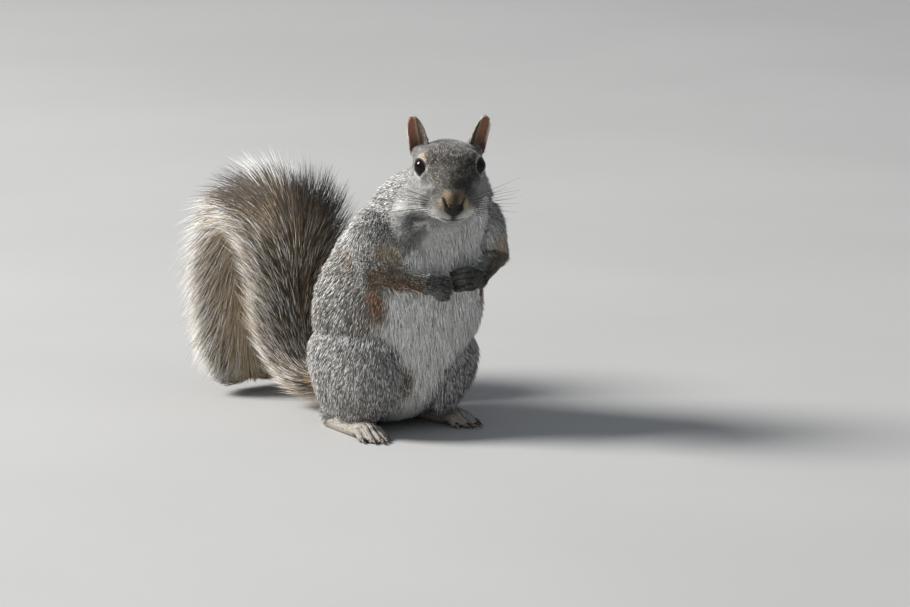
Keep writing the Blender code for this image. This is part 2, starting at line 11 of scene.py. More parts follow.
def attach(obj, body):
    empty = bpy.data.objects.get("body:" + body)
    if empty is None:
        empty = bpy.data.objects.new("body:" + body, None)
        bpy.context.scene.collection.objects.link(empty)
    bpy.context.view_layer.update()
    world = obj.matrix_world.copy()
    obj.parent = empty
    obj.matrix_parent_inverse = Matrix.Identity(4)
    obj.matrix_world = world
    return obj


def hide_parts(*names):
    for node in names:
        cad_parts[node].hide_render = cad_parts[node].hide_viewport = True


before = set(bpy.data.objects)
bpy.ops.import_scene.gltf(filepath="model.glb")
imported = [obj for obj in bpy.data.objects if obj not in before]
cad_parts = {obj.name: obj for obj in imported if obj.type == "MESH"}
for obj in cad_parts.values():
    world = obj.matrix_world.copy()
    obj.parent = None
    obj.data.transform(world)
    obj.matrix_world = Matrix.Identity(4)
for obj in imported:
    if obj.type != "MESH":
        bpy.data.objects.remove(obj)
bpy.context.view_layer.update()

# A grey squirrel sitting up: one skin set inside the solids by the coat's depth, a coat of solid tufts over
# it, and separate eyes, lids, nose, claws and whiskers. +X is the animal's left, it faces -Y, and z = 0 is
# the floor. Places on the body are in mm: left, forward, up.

MM = 0.001
SEED = 11
CENTRE_SHIFT = (-5.2, 38.5)          # left, forward: the solids' own shift of the origin

HEAD_AT = (-7.3, 64.0, 166.5)
HEAD_YAW, HEAD_PITCH = 32.0, 13.0    # degrees: to its right, nose down
EYE_AT, EYE_RADIUS = (15.3, 0.0, 0.0), 5.6
EYE_FACING = (0.84, 0.52, 0.14)      # left, forward, up
LID_OPENING = 60.0                   # degrees from the facing to the edge of the lids
NOSE_AT, NOSE_SIZE = (0.0, 26.0, -16.3), (5.7, 3.2, 4.3)
EAR_FOOT = (16.2, -13.5, 1.5)
EAR_TIP = {"r": (21.2, -19.0, 26.0), "l": (23.6, -18.0, 26.2)}
EAR_OPENING = (0.52, 0.85)

SHOULDER = {"r": (-26.0, 20.0, 123.0), "l": (37.0, 27.5, 126.5)}
ELBOW = {"r": (-38.0, 30.0, 105.0), "l": (51.5, 31.0, 104.0)}
WRIST = {"r": (-17.6, 52.9, 96.4), "l": (20.0, 57.0, 96.0)}
PAW_TIP = {"r": (-8.6, 56.9, 93.8), "l": (1.0, 60.5, 97.5)}
KNEE = {"r": (-26.0, 22.5, 41.0), "l": (18.5, 25.0, 37.0)}
HEEL = {"r": (-31.0, -20.0, 10.0), "l": (26.0, -20.0, 10.0)}
FOOT_LENGTH, FOOT_TOE_OUT = 62.0, 7.0
TOE_BASE, TOE_PITCH, CLAW_REACH = 41.0, 3.1, 4.5
FINGER_PITCH = 3.5

TAIL_PATH = [
    (0.0, -36.0, 26.0), (-1.0, -56.0, 17.0), (-3.0, -74.0, 20.0), (-5.0, -86.0, 38.0),
    (-6.0, -89.0, 64.0), (-6.0, -90.0, 90.0), (-6.0, -97.0, 110.0), (-7.0, -113.0, 119.0),
    (-8.0, -130.0, 110.0), (-9.0, -139.0, 88.0), (-9.0, -140.0, 62.0), (-9.0, -138.0, 36.0),
    (-9.0, -135.0, 15.0), (-9.0, -133.0, 5.0),
]
TAIL_BRUSH = [                       # to each side, outward of the bend, inward of it
    (13.0, 12.0, 12.0), (18.0, 15.0, 17.5), (26.0, 17.0, 20.5), (33.0, 20.0, 20.0),
    (38.0, 22.0, 19.0), (42.0, 27.0, 19.0), (45.0, 36.0, 18.0), (45.0, 36.0, 17.0),
    (43.0, 33.0, 17.0), (43.0, 27.0, 19.0), (43.0, 24.0, 20.0), (42.0, 22.0, 20.0),
    (36.0, 18.0, 17.0), (17.0, 8.0, 9.0),
]


# ---------------------------------------------------------------- places

def at(left, forward, up):
    return Vector((left + CENTRE_SHIFT[0], -(forward + CENTRE_SHIFT[1]), up)) * MM


def rows(vectors):
    return np.array([tuple(v) for v in vectors], dtype=float)


def unit(vectors):
    return vectors / np.maximum(np.linalg.norm(vectors, axis=-1, keepdims=True), 1e-12)


HEAD = (Matrix.Translation(at(*HEAD_AT)) @ Matrix.Rotation(math.radians(-HEAD_YAW), 4, "Z")
        @ Matrix.Rotation(math.radians(HEAD_PITCH), 4, "X") @ Matrix.Scale(MM, 4))
HEAD_TURN = np.array(HEAD.to_3x3()) / MM


def head_point(left, forward, up):
    return HEAD @ Vector((left, -forward, up))


def to_head(points):
    """Scene metres to the head's millimetres: left, forward, up."""
    local = (points - np.array(HEAD.translation)) @ HEAD_TURN / MM
    return local * (1.0, -1.0, 1.0)


def head_direction(left, forward, up):
    return HEAD_TURN @ np.array((left, -forward, up))


def hand_frame(side):
    """The wrist, and unit ways along the hand, across it and out of its back."""
    wrist, tip = np.array(at(*WRIST[side])), np.array(at(*PAW_TIP[side]))
    along = unit(tip - wrist)
    back = np.array((0.0, -1.0, 0.35))
    back = unit(back - along * (back @ along))
    return wrist, along, np.cross(along, back), back


def foot_frame(side):
    """The heel on the floor, and unit ways ahead and across."""
    turn = math.radians(FOOT_TOE_OUT) * (1 if side == "l" else -1)
    heel = np.array(at(HEEL[side][0], HEEL[side][1], 0.0))
    ahead = np.array((math.sin(turn), -math.cos(turn), 0.0))
    return heel, ahead, np.array((math.cos(turn), math.sin(turn), 0.0))


def eye_frame(sign):
    """An eye's centre and the way it faces: sign is 1 for its left one and -1 for its right."""
    centre = np.array(head_point(sign * EYE_AT[0], *EYE_AT[1:]))
    return centre, unit(head_direction(sign * EYE_FACING[0], *EYE_FACING[1:]))


def eye_arms(points):
    """From the left eye, then from the right one, to each point, in the head's millimetres."""
    return [to_head(points) - np.array((sign * EYE_AT[0], *EYE_AT[1:])) for sign in (1, -1)]


def faces_ear_opening(points, normals):
    """How far the skin looks out of the hollow of its own ear, from -1 to 1."""
    ways = [unit(head_direction(sign * EAR_OPENING[0], EAR_OPENING[1], 0)) for sign in (1, -1)]
    return np.where(to_head(points)[:, 0] > 0, normals @ ways[0], normals @ ways[1])


def under_head(points):
    """From 0 to 1 in the hollow under the chin."""
    _, forward, up = to_head(points).T
    return smooth_between(-48, -38, up) * smooth_between(-14, -4, forward)


def distance_from(points, place):
    return np.linalg.norm(points - np.array(at(*place)), axis=1) / MM


def gap_between_digits(points, side, kind):
    """From 0 to 1 where a place is in the groove between two fingers or toes."""
    if kind == "forepaw":
        origin, along, across, back = hand_frame(side)
        arm = (points - origin) / MM
        forward, sideways, out = arm @ along, arm @ across, arm @ back
        lane = sideways / (FINGER_PITCH * np.interp(out, (-8, 1), (0.87, 1.0)))
        begun = smooth_between(7.0, 11.0, forward)
        reach = 1.1
    else:
        origin, along, across = foot_frame(side)
        arm = (points - origin) / MM
        forward, sideways = arm @ along, arm @ across
        lane = sideways / (TOE_PITCH + np.clip((forward - TOE_BASE) / 14.0, 0, 1.2)) - 0.5
        begun = smooth_between(TOE_BASE - 4.0, TOE_BASE + 1.0, forward)
        reach = 1.6
    off = (lane - np.round(lane)) * FINGER_PITCH
    return np.exp(-(off / 0.55) ** 2) * begun * smooth_between(reach + 0.4, reach + 0.2, np.abs(lane))


def smooth_between(low, high, value):
    t = np.clip((value - low) / (high - low), 0.0, 1.0)
    return t * t * (3 - 2 * t)


def along_segment(points, start, end, scale=MM):
    """Share along a segment, and the distance from it in units of scale."""
    start, end = np.array(start), np.array(end)
    line = end - start
    share = np.clip((points - start) @ line / (line @ line), 0, 1)
    return share, np.linalg.norm(points - start - share[:, None] * line, axis=1) / scale


def noise(points, size, seed):
    """Smooth lumps about size metres across, from -1 to 1."""
    spot = points / size + 31.7 * seed
    cell = np.floor(spot).astype(np.int64)
    part = spot - cell
    part = part * part * (3 - 2 * part)
    total = np.zeros(len(points))
    for corner in range(8):
        step = np.array([(corner >> k) & 1 for k in range(3)])
        x, y, z = (cell + step).T
        mixed = (x * 73856093) ^ (y * 19349663) ^ (z * 83492791) ^ (seed * 265443)
        mixed = ((mixed ^ (mixed >> 13)) * 1274126177) & 0xFFFFFFFF
        value = ((mixed ^ (mixed >> 15)) & 0xFFFF) / 32767.5 - 1.0
        total += value * np.prod(np.where(step == 1, part, 1 - part), axis=1)
    return total


def spread(values, edges, rounds):
    """Values at a mesh's points, averaged along its edges that many times."""
    count = len(values)
    a, b = edges[:, 0], edges[:, 1]
    degree = (np.bincount(a, minlength=count) + np.bincount(b, minlength=count) + 1.0)[:, None]
    for _ in range(rounds):
        total = values.copy()
        for k in range(values.shape[1]):
            total[:, k] += np.bincount(a, values[b, k], count) + np.bincount(b, values[a, k], count)
        values = total / degree
    return values


def tree_of(places):
    tree = KDTree(len(places))
    for number, place in enumerate(places):
        tree.insert(place, number)
    tree.balance()
    return tree


def pick_places(draw, weight, count):
    """Triangles drawn by weight, with a place in each: its shares of the second and third corners."""
    pick = draw.choice(len(weight), count, p=weight / weight.sum())
    u, v = draw.random((2, count))
    flip = u + v > 1
    return pick, np.where(flip, 1 - u, u), np.where(flip, 1 - v, v)


# ---------------------------------------------------------------- meshes

def add_object(name, data):
    made = bpy.data.objects.new(name, data)
    bpy.context.scene.collection.objects.link(made)
    return made


def bmesh_object(name, bm):
    mesh = bpy.data.meshes.new(name)
    bm.to_mesh(mesh)
    bm.free()
    return add_object(name, mesh)


def shade_smooth(mesh):
    mesh.polygons.foreach_set("use_smooth", np.ones(len(mesh.polygons), dtype=bool))


def mesh_object(name, points, faces):
    """An object from arrays of points and of faces that all have the same number of corners."""
    mesh = bpy.data.meshes.new(name)
    points, faces = np.asarray(points, dtype=np.float32), np.asarray(faces, dtype=np.int32)
    corners = faces.shape[1]
    mesh.vertices.add(len(points))
    mesh.vertices.foreach_set("co", points.ravel())
    mesh.loops.add(faces.size)
    mesh.loops.foreach_set("vertex_index", faces.ravel())
    mesh.polygons.add(len(faces))
    mesh.polygons.foreach_set("loop_start", np.arange(0, faces.size, corners, dtype=np.int32))
    shade_smooth(mesh)
    mesh.update(calc_edges=True)
    return add_object(name, mesh)


def read(collection, attribute, width, kind=np.float32):
    values = np.empty(len(collection) * width, dtype=kind)
    collection.foreach_get(attribute, values)
    return values.reshape(-1, width) if width > 1 else values


def mesh_points(mesh):
    return read(mesh.vertices, "co", 3).astype(float)


def set_points(mesh, points):
    mesh.vertices.foreach_set("co", points.astype(np.float32).ravel())
    mesh.update()


def mesh_normals(mesh):
    return read(mesh.vertices, "normal", 3).astype(float)


def freeze(obj):
    bpy.context.view_layer.update()
    graph = bpy.context.evaluated_depsgraph_get()
    mesh = bpy.data.meshes.new_from_object(obj.evaluated_get(graph))
    obj.modifiers.clear()
    obj.data = mesh
    return obj


def fuse(obj, voxel, smoothing):
    remesh = obj.modifiers.new("fuse", "REMESH")
    remesh.mode = "VOXEL"
    remesh.voxel_size = voxel
    remesh.use_smooth_shade = True
    soften = obj.modifiers.new("soften", "SMOOTH")
    soften.factor = 0.5
    soften.iterations = smoothing
    return freeze(obj)


def join(name, objects):
    bm = bmesh.new()
    for obj in objects:
        bm.from_mesh(obj.data)
        bpy.data.objects.remove(obj)
    return bmesh_object(name, bm)


def loft(rings, closed_start=True, closed_end=True):
    """Points and triangles of a tube through rings of equal count."""
    rings = np.asarray(rings)
    count, sides = rings.shape[:2]
    points = list(rings.reshape(-1, 3))
    faces = []
    for k in range(count - 1):
        for i in range(sides):
            j = (i + 1) % sides
            a, b = k * sides + i, k * sides + j
            faces += [(a, b, b + sides), (a, b + sides, a + sides)]
    for closed, ring, order in ((closed_start, 0, -1), (closed_end, count - 1, 1)):
        if closed:
            middle = len(points)
            points.append(rings[ring].mean(axis=0))
            for i in range(sides):
                a, b = ring * sides + i, ring * sides + (i + 1) % sides
                faces.append((middle, a, b) if order > 0 else (middle, b, a))
    return np.array(points), np.array(faces)


def paint(mesh, name, colours):
    """A colour at each point, with a fourth number that is 1 if none is given."""
    if colours.shape[1] == 3:
        colours = np.concatenate([colours, np.ones((len(colours), 1))], 1)
    layer = mesh.attributes.new(name, "FLOAT_COLOR", "POINT")
    layer.data.foreach_set("color", np.ascontiguousarray(colours, dtype=np.float32).ravel())


# ---------------------------------------------------------------- the tail's bone and brush

def catmull_rom(points, count):
    points = np.asarray(points, dtype=float)
    last = len(points) - 1
    t = np.linspace(0, last, count)
    i = np.minimum(t.astype(int), last - 1)
    t = (t - i)[:, None]
    a, b, c, d = (points[np.clip(i + k, 0, last)] for k in (-1, 0, 1, 2))
    square, cube = 2 * a - 5 * b + 4 * c - d, 3 * b - a - 3 * c + d
    return 0.5 * (2 * b + (c - a) * t + square * t ** 2 + cube * t ** 3)


class Tail:
    """Everything along the tail, looked up by the distance from its root in metres."""
    fine = catmull_rom(TAIL_PATH, 521)
    middle = rows(at(*p) for p in fine)
    brush = catmull_rom(TAIL_BRUSH, 521) * MM
    distance = np.concatenate([[0], np.cumsum(np.linalg.norm(np.diff(middle, axis=0), axis=1))])
    length = distance[-1]
    tangent = unit(np.gradient(middle, axis=0))
    sideways = unit(np.array([1.0, 0, 0]) - tangent * tangent[:, :1])
    outward = np.cross(sideways, tangent)

    @classmethod
    def look(cls, table, where):
        return np.stack([np.interp(where, cls.distance, table[:, k]) for k in range(table.shape[1])], axis=1)

    @classmethod
    def around(cls, where, angle):
        """From the bone to the brush's surface: angle 0 is to the left, 90 degrees outward of the bend."""
        side, out, inward = cls.look(cls.brush, where).T
        across = np.cos(angle) * side
        reach = np.sin(angle) * np.where(np.sin(angle) > 0, out, inward)
        return cls.look(cls.sideways, where) * across[:, None] + cls.look(cls.outward, where) * reach[:, None]


# ---------------------------------------------------------------- the skin

FLESH = [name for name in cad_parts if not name.startswith(("eye", "nose", "tail", "ear"))]
EARS = ["ear_l", "ear_r"]
TAILS = [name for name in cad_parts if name.startswith("tail")]

# Coat's depth in mm on each part; the head's comes from its place
DEPTH = {"neck": 4.0, "trunk": 4.2, "upper_arm": 2.8, "forearm": 1.7, "forepaw": 0.25, "thigh": 4.0,
         "shank": 2.6, "hind_foot": 0.3, "ear": 0.2, "head": 2.0}
FINGERED = ("forepaw", "hind_foot")  # set into the skin last, so that fingers and toes stay apart
FINGERED_INSET = 1.3                 # mm, of the mitten that joins each of them to its leg
CLOSING = 0.3 * MM                   # swells the solids so that the thin cuts between them close
FIRST_VOXEL, LAST_VOXEL = 1.0, 0.72  # mm, for the body alone and for the whole skin
GROOVE = 1.0                         # mm, depth between two fingers or toes
SOLE_TOP = 1.6                       # mm above the floor, up to which the skin is pulled down to it
SKIN_SHARE = 0.45                    # of the skin's triangles that are kept under deep coat
SAMPLES = 0.6e6                      # places on each square metre of the solids, to tell them apart


def stem(name):
    return name[:-2] if name.endswith(("_l", "_r")) else name


def solid_copy(name, swell):
    bm = bmesh.new()
    bm.from_mesh(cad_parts[name].data)
    bmesh.ops.remove_doubles(bm, verts=bm.verts, dist=1e-6)
    bmesh.ops.recalc_face_normals(bm, faces=bm.faces)
    bm.normal_update()
    for vert in bm.verts:
        vert.co += vert.normal * swell
    return bmesh_object(name + "_copy", bm)


def ball_object(name, centre, radii):
    bm = bmesh.new()
    place = Matrix.Translation(centre) @ HEAD.to_3x3().normalized().to_4x4()
    size = Matrix.Diagonal((*[r * MM for r in radii], 1.0))
    bmesh.ops.create_icosphere(bm, subdivisions=3, radius=1.0, matrix=place @ size)
    return bmesh_object(name, bm)


def sample_solids(names):
    """Points spread over the solids, each with the number of the solid that it is on."""
    found, marks = [], []
    draw = np.random.default_rng(SEED)
    for number, name in enumerate(names):
        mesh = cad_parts[name].data
        mesh.calc_loop_triangles()
        points = mesh_points(mesh)
        triangles = read(mesh.loop_triangles, "vertices", 3, np.int32)
        a, b, c = (points[triangles[:, k]] for k in range(3))
        area = np.linalg.norm(np.cross(b - a, c - a), axis=1) / 2
        count = max(200, int(area.sum() * SAMPLES))
        pick, u, v = pick_places(draw, area, count)
        found.append(a[pick] + (b[pick] - a[pick]) * u[:, None] + (c[pick] - a[pick]) * v[:, None])
        marks.append(np.full(count, number))
    return np.concatenate(found), np.concatenate(marks)


class Parts:
    """Tells which solid is nearest to a place."""
    names = FLESH + EARS
    places, marks = sample_solids(names)
    tree = tree_of(places)

    @classmethod
    def nearest(cls, points):
        return np.array([cls.marks[cls.tree.find(p)[1]] for p in points])


KINDS = np.array([stem(name) for name in Parts.names])


def coat_depth(points, marks, edges):
    """Depth of the coat in metres at each point, changing smoothly from part to part."""
    depth = np.array([DEPTH[kind] for kind in KINDS])[marks]
    face = np.interp(to_head(points)[:, 1], (-33, -15, 0, 10, 20, 27), (3.2, 2.6, 2.0, 1.4, 1.0, 0.8))
    depth = np.where(KINDS[marks] == "head", face, depth)
    return spread(depth[:, None], edges, 25)[:, 0] * MM


def bone_tube():
    """The tail's own flesh, hidden by its brush."""
    where = np.linspace(0.0, Tail.length * 0.93, 90)
    angles = np.linspace(0, 2 * math.pi, 14, endpoint=False)
    radius = np.interp(where / Tail.length, (0, 0.1, 0.5, 0.93), (9.0, 6.0, 4.6, 2.6)) * MM
    middle, side, out = (Tail.look(t, where)[:, None] for t in (Tail.middle, Tail.sideways, Tail.outward))
    spokes = side * np.cos(angles)[None, :, None] + out * np.sin(angles)[None, :, None]
    points, faces = loft(middle + spokes * radius[:, None, None])
    return mesh_object("bone", points, faces)


# Side and up on the face: a crease over the nose's end, and one from beside it to a nostril
NOSE_FRAME = ((0.0, -4.2), (7.6, -6.6), (11.5, -10.0), (15.4, -23.0))
ALAR = ((5.4, -9.9), (4.2, -13.6))


def off_frame(side, up, first):
    """Distance from the crease that runs over the nose's furred end and down behind each whisker pad."""
    places = np.stack([side, up], 1)
    lines = zip(NOSE_FRAME[first:], NOSE_FRAME[first + 1:])
    return np.min([along_segment(places, a, b, 1.0)[1] for a, b in lines], axis=0)


def mouth_line(side, forward):
    """Height of the mouth's slit in the head's millimetres."""
    return -24.3 + 0.12 * side - 0.012 * np.clip(24.0 - forward, 0, None) ** 2


def fold_head(points, normals):
    """Mouth, lips, cheeks, brows and the lids' beds, pressed into the skin of the head."""
    left, forward, up = to_head(points).T
    side = np.abs(left)

    def lump(centre, size):
        a, b, c = ((v - m) / s for v, m, s in zip((side, forward, up), centre, size))
        return np.exp(-(a * a + b * b + c * c))

    _, alar = along_segment(np.stack([side, up], 1), *ALAR, 1.0)
    height = 1.1 * lump((6.8, 20.5, -18.5), (3.8, 5.0, 4.2))                       # whisker pads
    height += 2.3 * lump((0.0, 24.5, -10.0), (6.8, 4.4, 4.2))                      # the nose's furred end
    height += 0.4 * lump((13.5, 3.0, 7.5), (4.0, 8.0, 2.4))                        # brows
    height -= 0.7 * np.exp(-(off_frame(side, up, 1) / 1.3) ** 2) * smooth_between(6, 11, forward)
    height -= 0.6 * np.exp(-((up + 4.8) / 1.3) ** 2 - (left / 7.5) ** 2) * smooth_between(16, 20, forward)
    height -= 1.2 * np.exp(-(alar / 0.8) ** 2) * smooth_between(18, 21, forward)
    height -= 0.7 * lump((9.5, 12.0, -7.5), (3.5, 6.0, 3.0))                       # hollow before each eye
    height += 0.7 * lump((0.0, 20.0, -27.5), (4.5, 4.0, 2.0))                      # chin
    height += 1.3 * lump((9.0, -4.0, 17.0), (6.0, 9.0, 5.0))                       # the crown's corners
    mouth = np.exp(-((up - mouth_line(side, forward)) / 0.8) ** 2)
    height -= 1.3 * mouth * smooth_between(9.0, 15.0, forward)
    cleft = np.exp(-(left / 0.6) ** 2) * smooth_between(-19.0, -20.5, up) * smooth_between(-25.0, -24.0, up)
    height -= 0.9 * cleft * smooth_between(19.0, 22.0, forward)
    under_jaw = np.exp(-((up + 34.0) / 3.6) ** 2) * smooth_between(-12.0, -2.0, forward)
    height -= 3.0 * (under_jaw * smooth_between(25.0, 19.0, side))
    points = points + normals * (height * MM)[:, None]
    for sign in (1, -1):
        centre, facing = eye_frame(sign)
        arm = points - centre
        reach = np.linalg.norm(arm, axis=1) / MM
        turn = np.degrees(np.arccos(np.clip(arm @ facing / MM / np.maximum(reach, 1e-6), -1, 1)))
        near = reach < EYE_RADIUS + 4.5
        wanted = np.where(turn < LID_OPENING + 4, 4.6, np.clip(reach, EYE_RADIUS + 0.1, None))
        lids = EYE_RADIUS + 0.25 + 0.03 * np.maximum(turn - LID_OPENING, 0)
        blend = smooth_between(LID_OPENING + 26, LID_OPENING + 6, turn) * (turn >= LID_OPENING + 4)
        wanted = wanted * (1 - blend) + lids * blend
        points = np.where(near[:, None], centre + unit(arm) * (wanted * MM)[:, None], points)
    return points


def fold_paws(points, normals, kinds):
    """Grooves between the fingers and between the toes."""
    depth = np.zeros(len(points))
    for kind in FINGERED:
        for side in ("l", "r"):
            own = (kinds == kind) & ((points[:, 0] > CENTRE_SHIFT[0] * MM) == (side == "l"))
            depth[own] = gap_between_digits(points[own], side, kind)
    return points - normals * (depth * GROOVE * MM)[:, None]


def thin_out(skin):
    """Fewer triangles where the coat is deep, and all of them on the face, ears, paws and feet."""
    points = mesh_points(skin.data)
    kinds = KINDS[Parts.nearest(points)]
    fine = np.isin(kinds, ("ear", *FINGERED)) | ((kinds == "head") & (to_head(points)[:, 1] > -4))
    group = skin.vertex_groups.new(name="deep_coat")
    group.add([int(i) for i in np.flatnonzero(~fine)], 1.0, "REPLACE")
    thinning = skin.modifiers.new("thin", "DECIMATE")
    thinning.ratio = SKIN_SHARE
    thinning.vertex_group = "deep_coat"
    freeze(skin)
    skin.vertex_groups.clear()


def sunk_body():
    """The flesh fused into one skin and set in by the coat's depth."""
    pieces = [solid_copy(name, CLOSING) for name in FLESH]
    for sign in (1, -1):
        pieces.append(ball_object("socket", head_point(sign * EYE_AT[0], 0, 0), (EYE_RADIUS + 0.2,) * 3))
        foot = head_point(sign * (EAR_FOOT[0] - 2.0), EAR_FOOT[1] - 1, EAR_FOOT[2] - 1)
        pieces.append(ball_object("ear_root", foot, (7.5, 8.0, 8.0)))
    pieces.append(ball_object("snout", head_point(*NOSE_AT), [r - 0.4 for r in NOSE_SIZE]))
    skin = fuse(join("skin", pieces), FIRST_VOXEL * MM, 6)
    edges = read(skin.data.edges, "vertices", 2, np.int32)
    marks = Parts.nearest(mesh_points(skin.data))
    depth = coat_depth(mesh_points(skin.data), marks, edges)
    depth = np.where(np.isin(KINDS[marks], FINGERED), np.maximum(depth, FINGERED_INSET * MM), depth)
    for _ in range(3):
        set_points(skin.data, mesh_points(skin.data) - mesh_normals(skin.data) * (depth / 3)[:, None])
    return skin


def refine(skin):
    """More triangles on the nose, round the eyes and on the paws and feet, where folds are pressed in."""
    bm = bmesh.new()
    bm.from_mesh(skin.data)
    bmesh.ops.triangulate(bm, faces=bm.faces)
    fine = [(head_point(*place), radius) for place, radius in
            (((0, 22, -17), 11), ((EYE_AT[0], 0, 0), 9), ((-EYE_AT[0], 0, 0), 9))]
    for side in ("l", "r"):
        wrist, along, _, _ = hand_frame(side)
        heel, ahead, _ = foot_frame(side)
        fine += [(Vector(wrist + along * 10 * MM), 10), (Vector(heel + ahead * 50 * MM), 14)]

    def detailed(edge):
        middle = (edge.verts[0].co + edge.verts[1].co) / 2
        return any((middle - centre).length < radius * MM for centre, radius in fine)

    bmesh.ops.subdivide_edges(bm, edges=[e for e in bm.edges if detailed(e)], cuts=1)
    bmesh.ops.triangulate(bm, faces=bm.faces)
    bm.to_mesh(skin.data)
    bm.free()


def make_skin():
    pieces = [sunk_body(), bone_tube(), *[solid_copy(name, 0.0) for name in FLESH if stem(name) in FINGERED]]
    for name in EARS:
        ear = solid_copy(name, 0.0)
        rounding = ear.modifiers.new("round", "SUBSURF")
        rounding.levels = 2
        pieces.append(freeze(ear))
    skin = fuse(join("skin", pieces), LAST_VOXEL * MM, 2)
    thin_out(skin)
    refine(skin)
    set_points(skin.data, fold_head(mesh_points(skin.data), mesh_normals(skin.data)))
    points = mesh_points(skin.data)
    points = fold_paws(points, mesh_normals(skin.data), KINDS[Parts.nearest(points)])
    low = points[:, 2] < SOLE_TOP * MM
    points[low, 2] = np.maximum(points[low, 2] * 1.3 - 0.48 * MM, 0.0)   # soles pulled down to the floor
    set_points(skin.data, points)
    shade_smooth(skin.data)
    return skin


# ---------------------------------------------------------------- markings, and painted shade and light

def linear(red, green, blue):
    c = np.array((red, green, blue)) / 255.0
    return np.where(c <= 0.04045, c / 12.92, ((c + 0.055) / 1.055) ** 2.4)


GREY = linear(150, 150, 149)
BROWN_GREY = linear(121, 112, 98)
PALE_GREY = linear(206, 207, 207)
WHITE = linear(238, 236, 230)
CREAM = linear(222, 208, 184)
BUFF = linear(190, 164, 126)
TAN = linear(148, 122, 92)
RUST = linear(146, 102, 64)
PAW = linear(80, 77, 74)
DARK = linear(44, 39, 35)
BLACK = linear(22, 19, 17)
FACE = linear(47, 43, 38)
EAR_INSIDE = linear(156, 110, 90)
EAR_FOLD_SHADE = linear(92, 82, 62)
PINK = linear(150, 110, 98)


def mix(a, b, share):
    share = np.asarray(share)[..., None] if np.ndim(share) else share
    return a * (1 - share) + b * share


RUST_BAND = {"r": ((-36, 8, 115), (-34.5, 37, 78)), "l": ((43, 12, 115), (37.5, 40, 78))}
ARM_PATCH = {"r": (-32.0, 36.5, 115), "l": (47, 40, 113)}
# Painted shade: the middle of a darker spot in the throat's hollow under the jaw.
THROAT_SHADE_AT = (-17.0, 47.0, 131.5)
# Painted shade: a dark line in the crease behind each arm, where it meets the trunk.
ARMPIT_SHADE = {"r": ((-38, 14, 110), (-37, 31, 97)), "l": ((45, 16, 110), (44, 33, 97))}


